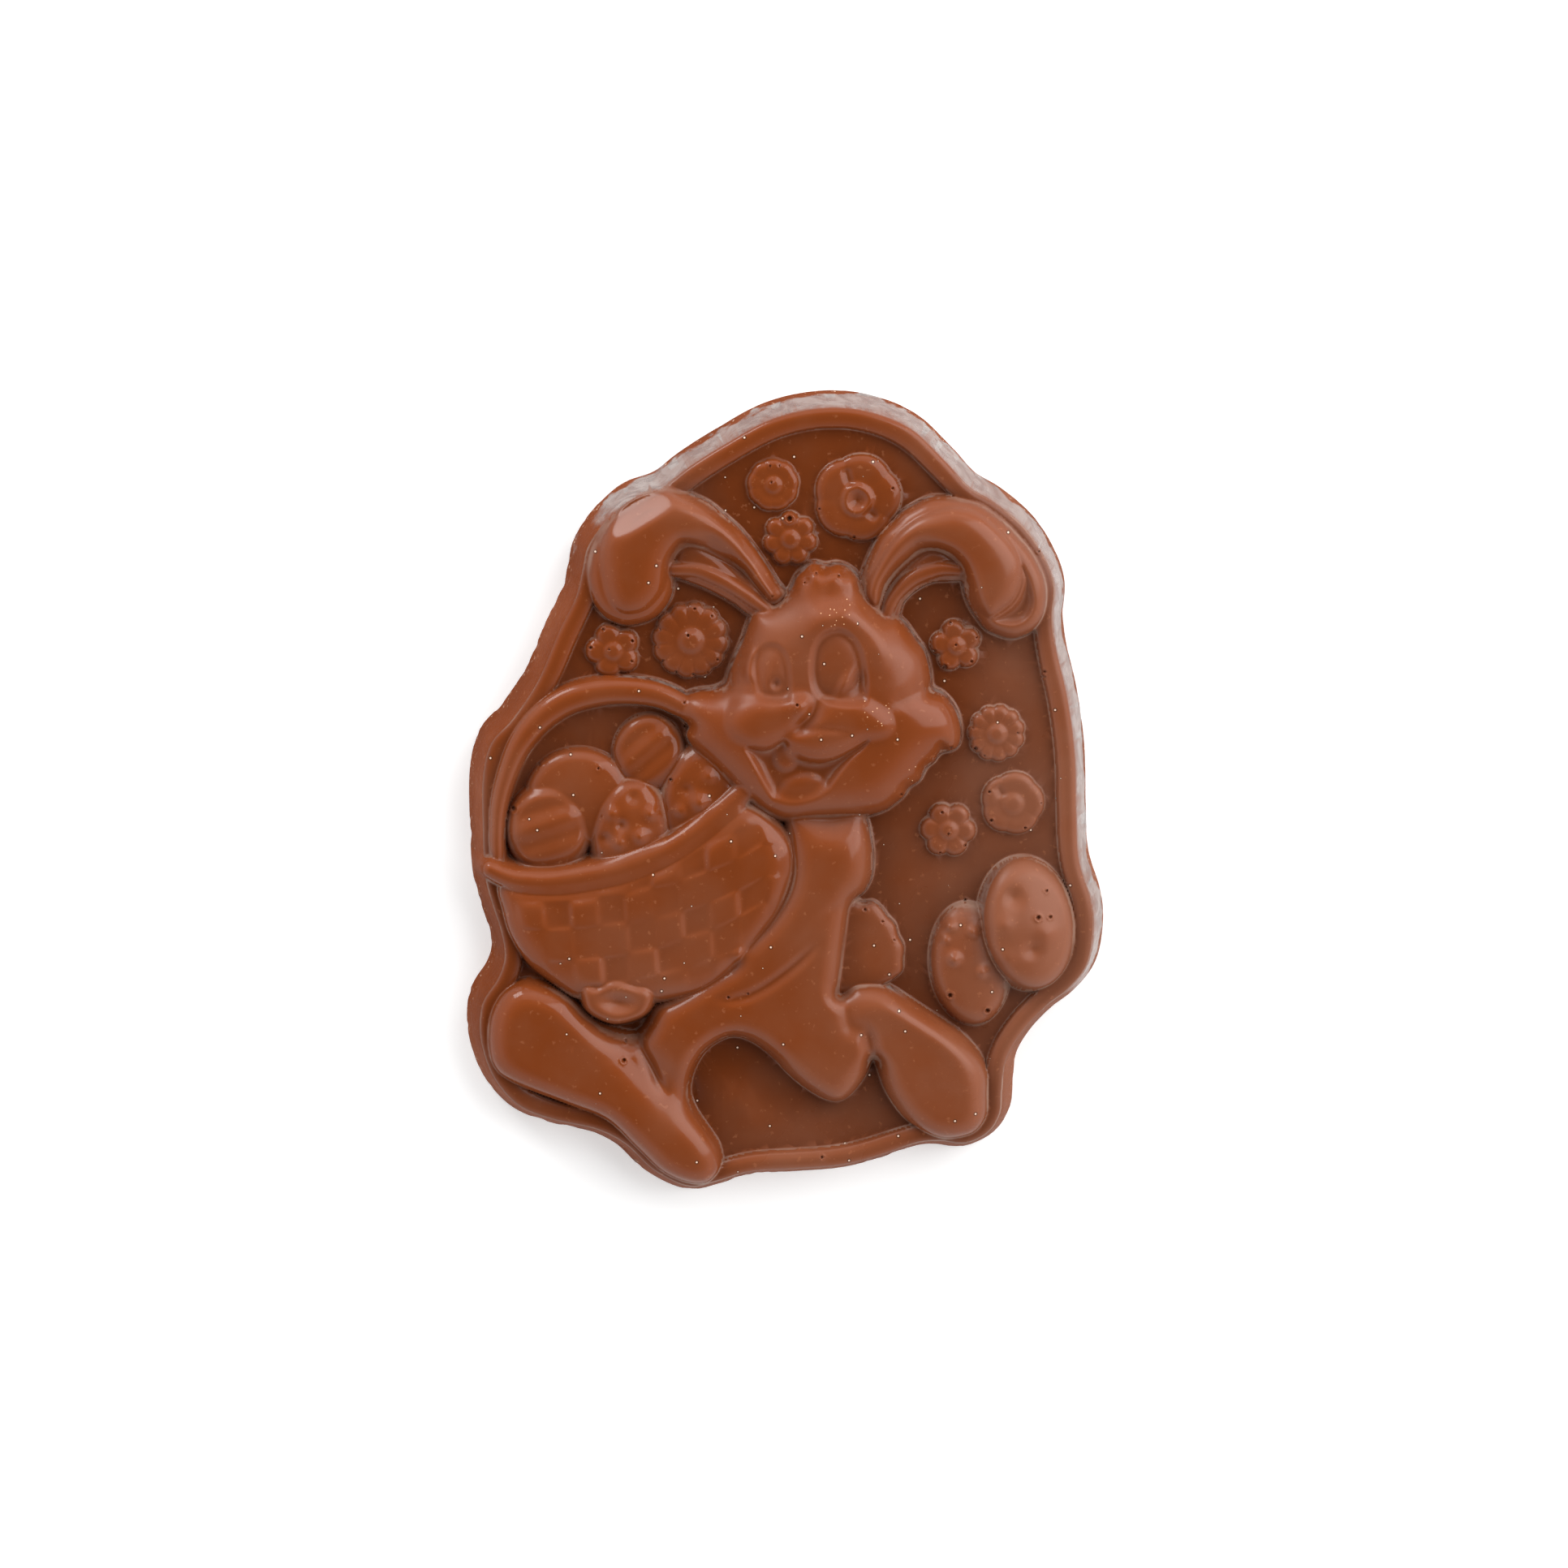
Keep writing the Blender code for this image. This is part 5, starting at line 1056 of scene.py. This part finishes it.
def chocolate():
    """Milk chocolate with a dull shine and painted light and shade, dry and crumbly on the walls at the left
    and below.
    """
    material, nodes = begun(bpy.data.materials.new("moulded_chocolate"))
    place = Shade.node("TexCoord", out=3)
    side, ahead, height = axes(place)
    lean, sunk = (Shade.node("Attribute", {"attribute_name": name}, out=2) for name in ("lean", "sunk"))
    cloud, grain, fine, flakes = (noise(place, *shape) for shape in (CLOUD, GRAIN, FINE, FLAKES))
    face = short_of(distance(place, FACE_CENTRE), *FACE_REACH)
    # A paler painted sheen: more to the right and towards the feet, less on the face, with random clouds
    sheen = SHEEN + (side - ahead) * SHEEN_SLOPE + past(side, *SHEEN_FROM) * SHEEN_RIGHT
    sheen = (sheen + (cloud - 0.5) * SHEEN_CLOUDS - face * FACE_CLEARER).clamp()
    colour = mixed(sheen, FULL_BROWN, SHEEN_BROWN)
    # Painted light and shade: paler on slopes, darker down in the grooves
    colour = scaled(colour, ramp(lean, LEAN_PAINTED_LIGHT) * ramp(sunk, SUNK_PAINTED_SHADE) * LIGHT_AND_SHADE_FULL)
    # Pale flecks on the grain's peaks: painted small highlights over the real grain bump
    colour = mixed(((grain - GRAIN_FROM[0]) * GRAIN_FROM[1]).clamp(0.0, GRAIN_MOST), colour, GRAIN_HIGHLIGHT_TAN)
    # Painted glints on opened bubbles, and painted shade in the rings round them
    glint_dots, pore_shade_rings = pore_glints(place)
    upward = short_of(lean, *PORES_UNTIL)
    colour = mixed(pore_shade_rings * upward * PORE_SHADE_SHARE, colour, PORE_SHADE)
    colour = mixed(glint_dots * upward, colour, PORE_GLINT)
    # Painted glints: sparkles on the brow, the muzzle, the nose and the fur
    colour = mixed(sparkles(place), colour, SPARKLE_LIGHT)
    # A painted highlight along the feet of the forms, stronger to the right
    foot = past(lean, *FOOT_FROM) * short_of(lean, *FOOT_UNTIL) * past(sunk, *GROOVE_FROM)
    foot_highlight = (noise(place, *FOOT_HIGHLIGHT_BREAKUP) - FOOT_HIGHLIGHT_FROM[0]) * FOOT_HIGHLIGHT_FROM[1] + side * FOOT_HIGHLIGHT_RIGHT
    colour = mixed(foot * FOOT_HIGHLIGHT * foot_highlight.clamp(FOOT_HIGHLIGHT_LEAST, 1.0), colour, FOOT_HIGHLIGHT_GREY)
    wall = past(lean, *WALL_FROM)
    # Steep sides darkened: painted shade
    shaded_walls = mixed(wall * WALL_SHADE_SHARE, colour, WALL_SHADE)
    # Grey patches on steep sides: a painted reflection of the pale table
    reflection_patches = past(noise(place, *WALL_REFLECTION_PATCHES), *WALL_REFLECTION_FROM) * wall * WALL_REFLECTION_SHARE
    matt = SHINE + cloud * CLOUD_MATT + grain * GRAIN_MATT + sheen * SHEEN_MATT
    spots = sum(short_of(distance(place, spot), *MATT_REACH) for spot in MATT_SPOTS)
    pitting = grain * PIT_SHARES[0] + fine * PIT_SHARES[1]
    smooth = nodes["Principled BSDF"]
    Shade.feed(smooth, Base_Color=mixed(reflection_patches, shaded_walls, WALL_REFLECTION_GREY), Coat_Weight=wall * WALL_COAT,
               Roughness=matt + face * FACE_MATT + spots * SPOT_MATT,
               Normal=Shade.node("Bump", **GRAIN_BUMP, Height=pitting), **SMOOTH_SHINE)
    dry = scaled(colour, DRY_SHADES[0] + cloud * DRY_SHADES[1])
    dry = mixed(past(flakes, *FLAKES_FROM) * short_of(height, *FLAKES_BELOW), dry, FLAKE_TAN)
    pitted = Shade.node("Bump", **CRUMB_BUMP, Height=flakes)
    crumbs = Shade.node("BsdfPrincipled", Base_Color=dry, Normal=pitted, **CRUMB_SHINE)
    ragged = noise(place, *PATCHES) - 0.5
    left, below, back = (ragged * share for share in SCRAPE_RAGGED)
    dull = past(left - side, *SCRAPE_FROM) + past(below - ahead, *SCRAPE_FROM)
    dull = dull + short_of(height - back, *SCRAPE_EDGE)
    crumbly = past(lean, *CRUMBS_FROM) * dull.clamp()
    blend = Shade.node("MixShader", _0=crumbly, _1=Shade(smooth.outputs[0]), _2=crumbs)
    Shade.feed(nodes["Material Output"], Surface=blend)
    return material


def mean_height_round(places, tops, size):
    """The mean height of the tops round each place, as far as SUNK_REACH cells of the given size."""
    cell = np.floor((places[:, :2] - places[:, :2].min(axis=0)) / size).astype(int) + SUNK_REACH
    sums = np.zeros((2, *(cell.max(axis=0) + SUNK_REACH + 1)))
    np.add.at(sums[0], tuple(cell[tops].T), places[tops, 2])
    np.add.at(sums[1], tuple(cell[tops].T), 1)
    for axis in (1, 2):
        sums = sum(np.roll(sums, step, axis) for step in range(-SUNK_REACH, SUNK_REACH + 1))
    return (sums[0] / np.maximum(sums[1], 1))[tuple(cell.T)]


def add_shading_measures(mesh):
    """Writes on every point how far the surface leans there and how deep it lies in a groove, for the painted
    light on slopes and the painted shade in grooves.
    """
    upright = np.array([vertex.normal.z for vertex in mesh.vertices])
    places = np.array([vertex.co for vertex in mesh.vertices])
    tops = upright > TOP_UPRIGHT
    below = sum(share * (mean_height_round(places, tops, cell) - places[:, 2]) for cell, share in SUNK_CELLS)
    below = np.where(tops, below, 0)
    shares = {"lean": 1 - upright, "sunk": 0.5 + below / SUNK_RANGE}
    for name, share in shares.items():
        mesh.attributes.new(name, "FLOAT", "POINT").data.foreach_set("value", np.clip(share, 0, 1))


def make_plaque():
    edge = PlateEdge()
    sheet = grid_over(edge)
    loop, along = grow_to_edge(sheet, edge)
    raise_relief(sheet, edge)
    add_wall(sheet, edge, loop, along)
    body = simplified(sheet)
    seal_back(body)
    keep_in_box(body)
    mesh = as_mesh("moulded_plaque", body)
    mesh.shade_smooth()
    mesh.set_sharp_from_angle(angle=SHARP_ANGLE)
    add_shading_measures(mesh)
    mesh.materials.append(chocolate())
    return placed("moulded_plaque", mesh)


def add_floor():
    """A plain white table under the piece."""
    sheet = bmesh.new()
    bmesh.ops.create_grid(sheet, x_segments=1, y_segments=1, size=FLOOR_HALF)
    mesh = as_mesh("floor", sheet)
    material, nodes = begun(bpy.data.materials.new("white_table"))
    colour = mixed(noise(Shade.node("TexCoord", out=3), FLOOR_MOTTLE), *FLOOR_WHITES)
    Shade.feed(nodes["Principled BSDF"], Base_Color=colour, Roughness=FLOOR_ROUGHNESS,
               Emission_Color=(1, 1, 1, 1), Emission_Strength=FLOOR_GLOW)
    mesh.materials.append(material)
    placed("floor", mesh)


def add_room():
    """Even light from a low bright band all round the piece, under a dim ceiling."""
    world, nodes = begun(bpy.data.worlds.new("studio"))
    height = axes(Shade.node("TexCoord"))[2]
    Shade.feed(nodes["Background"], Color=ramp(height, ROOM_RING), Strength=ROOM_STRENGTH)
    bpy.context.scene.world = world


def add_soft_boxes():
    for name, place, size, energy in SOFT_BOXES:
        light = bpy.data.lights.new(name, "AREA")
        light.shape = "RECTANGLE"
        light.size, light.size_y = size
        light.energy = energy
        box = placed(name, light)
        box.location = place
        box.rotation_euler = (-Vector(place)).to_track_quat("-Z", "Y").to_euler()


bpy.context.scene.view_settings.view_transform = "Standard"
add_room()
add_soft_boxes()
add_floor()
plaque = make_plaque()
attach(plaque, "root")
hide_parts("chocolate_bunny")
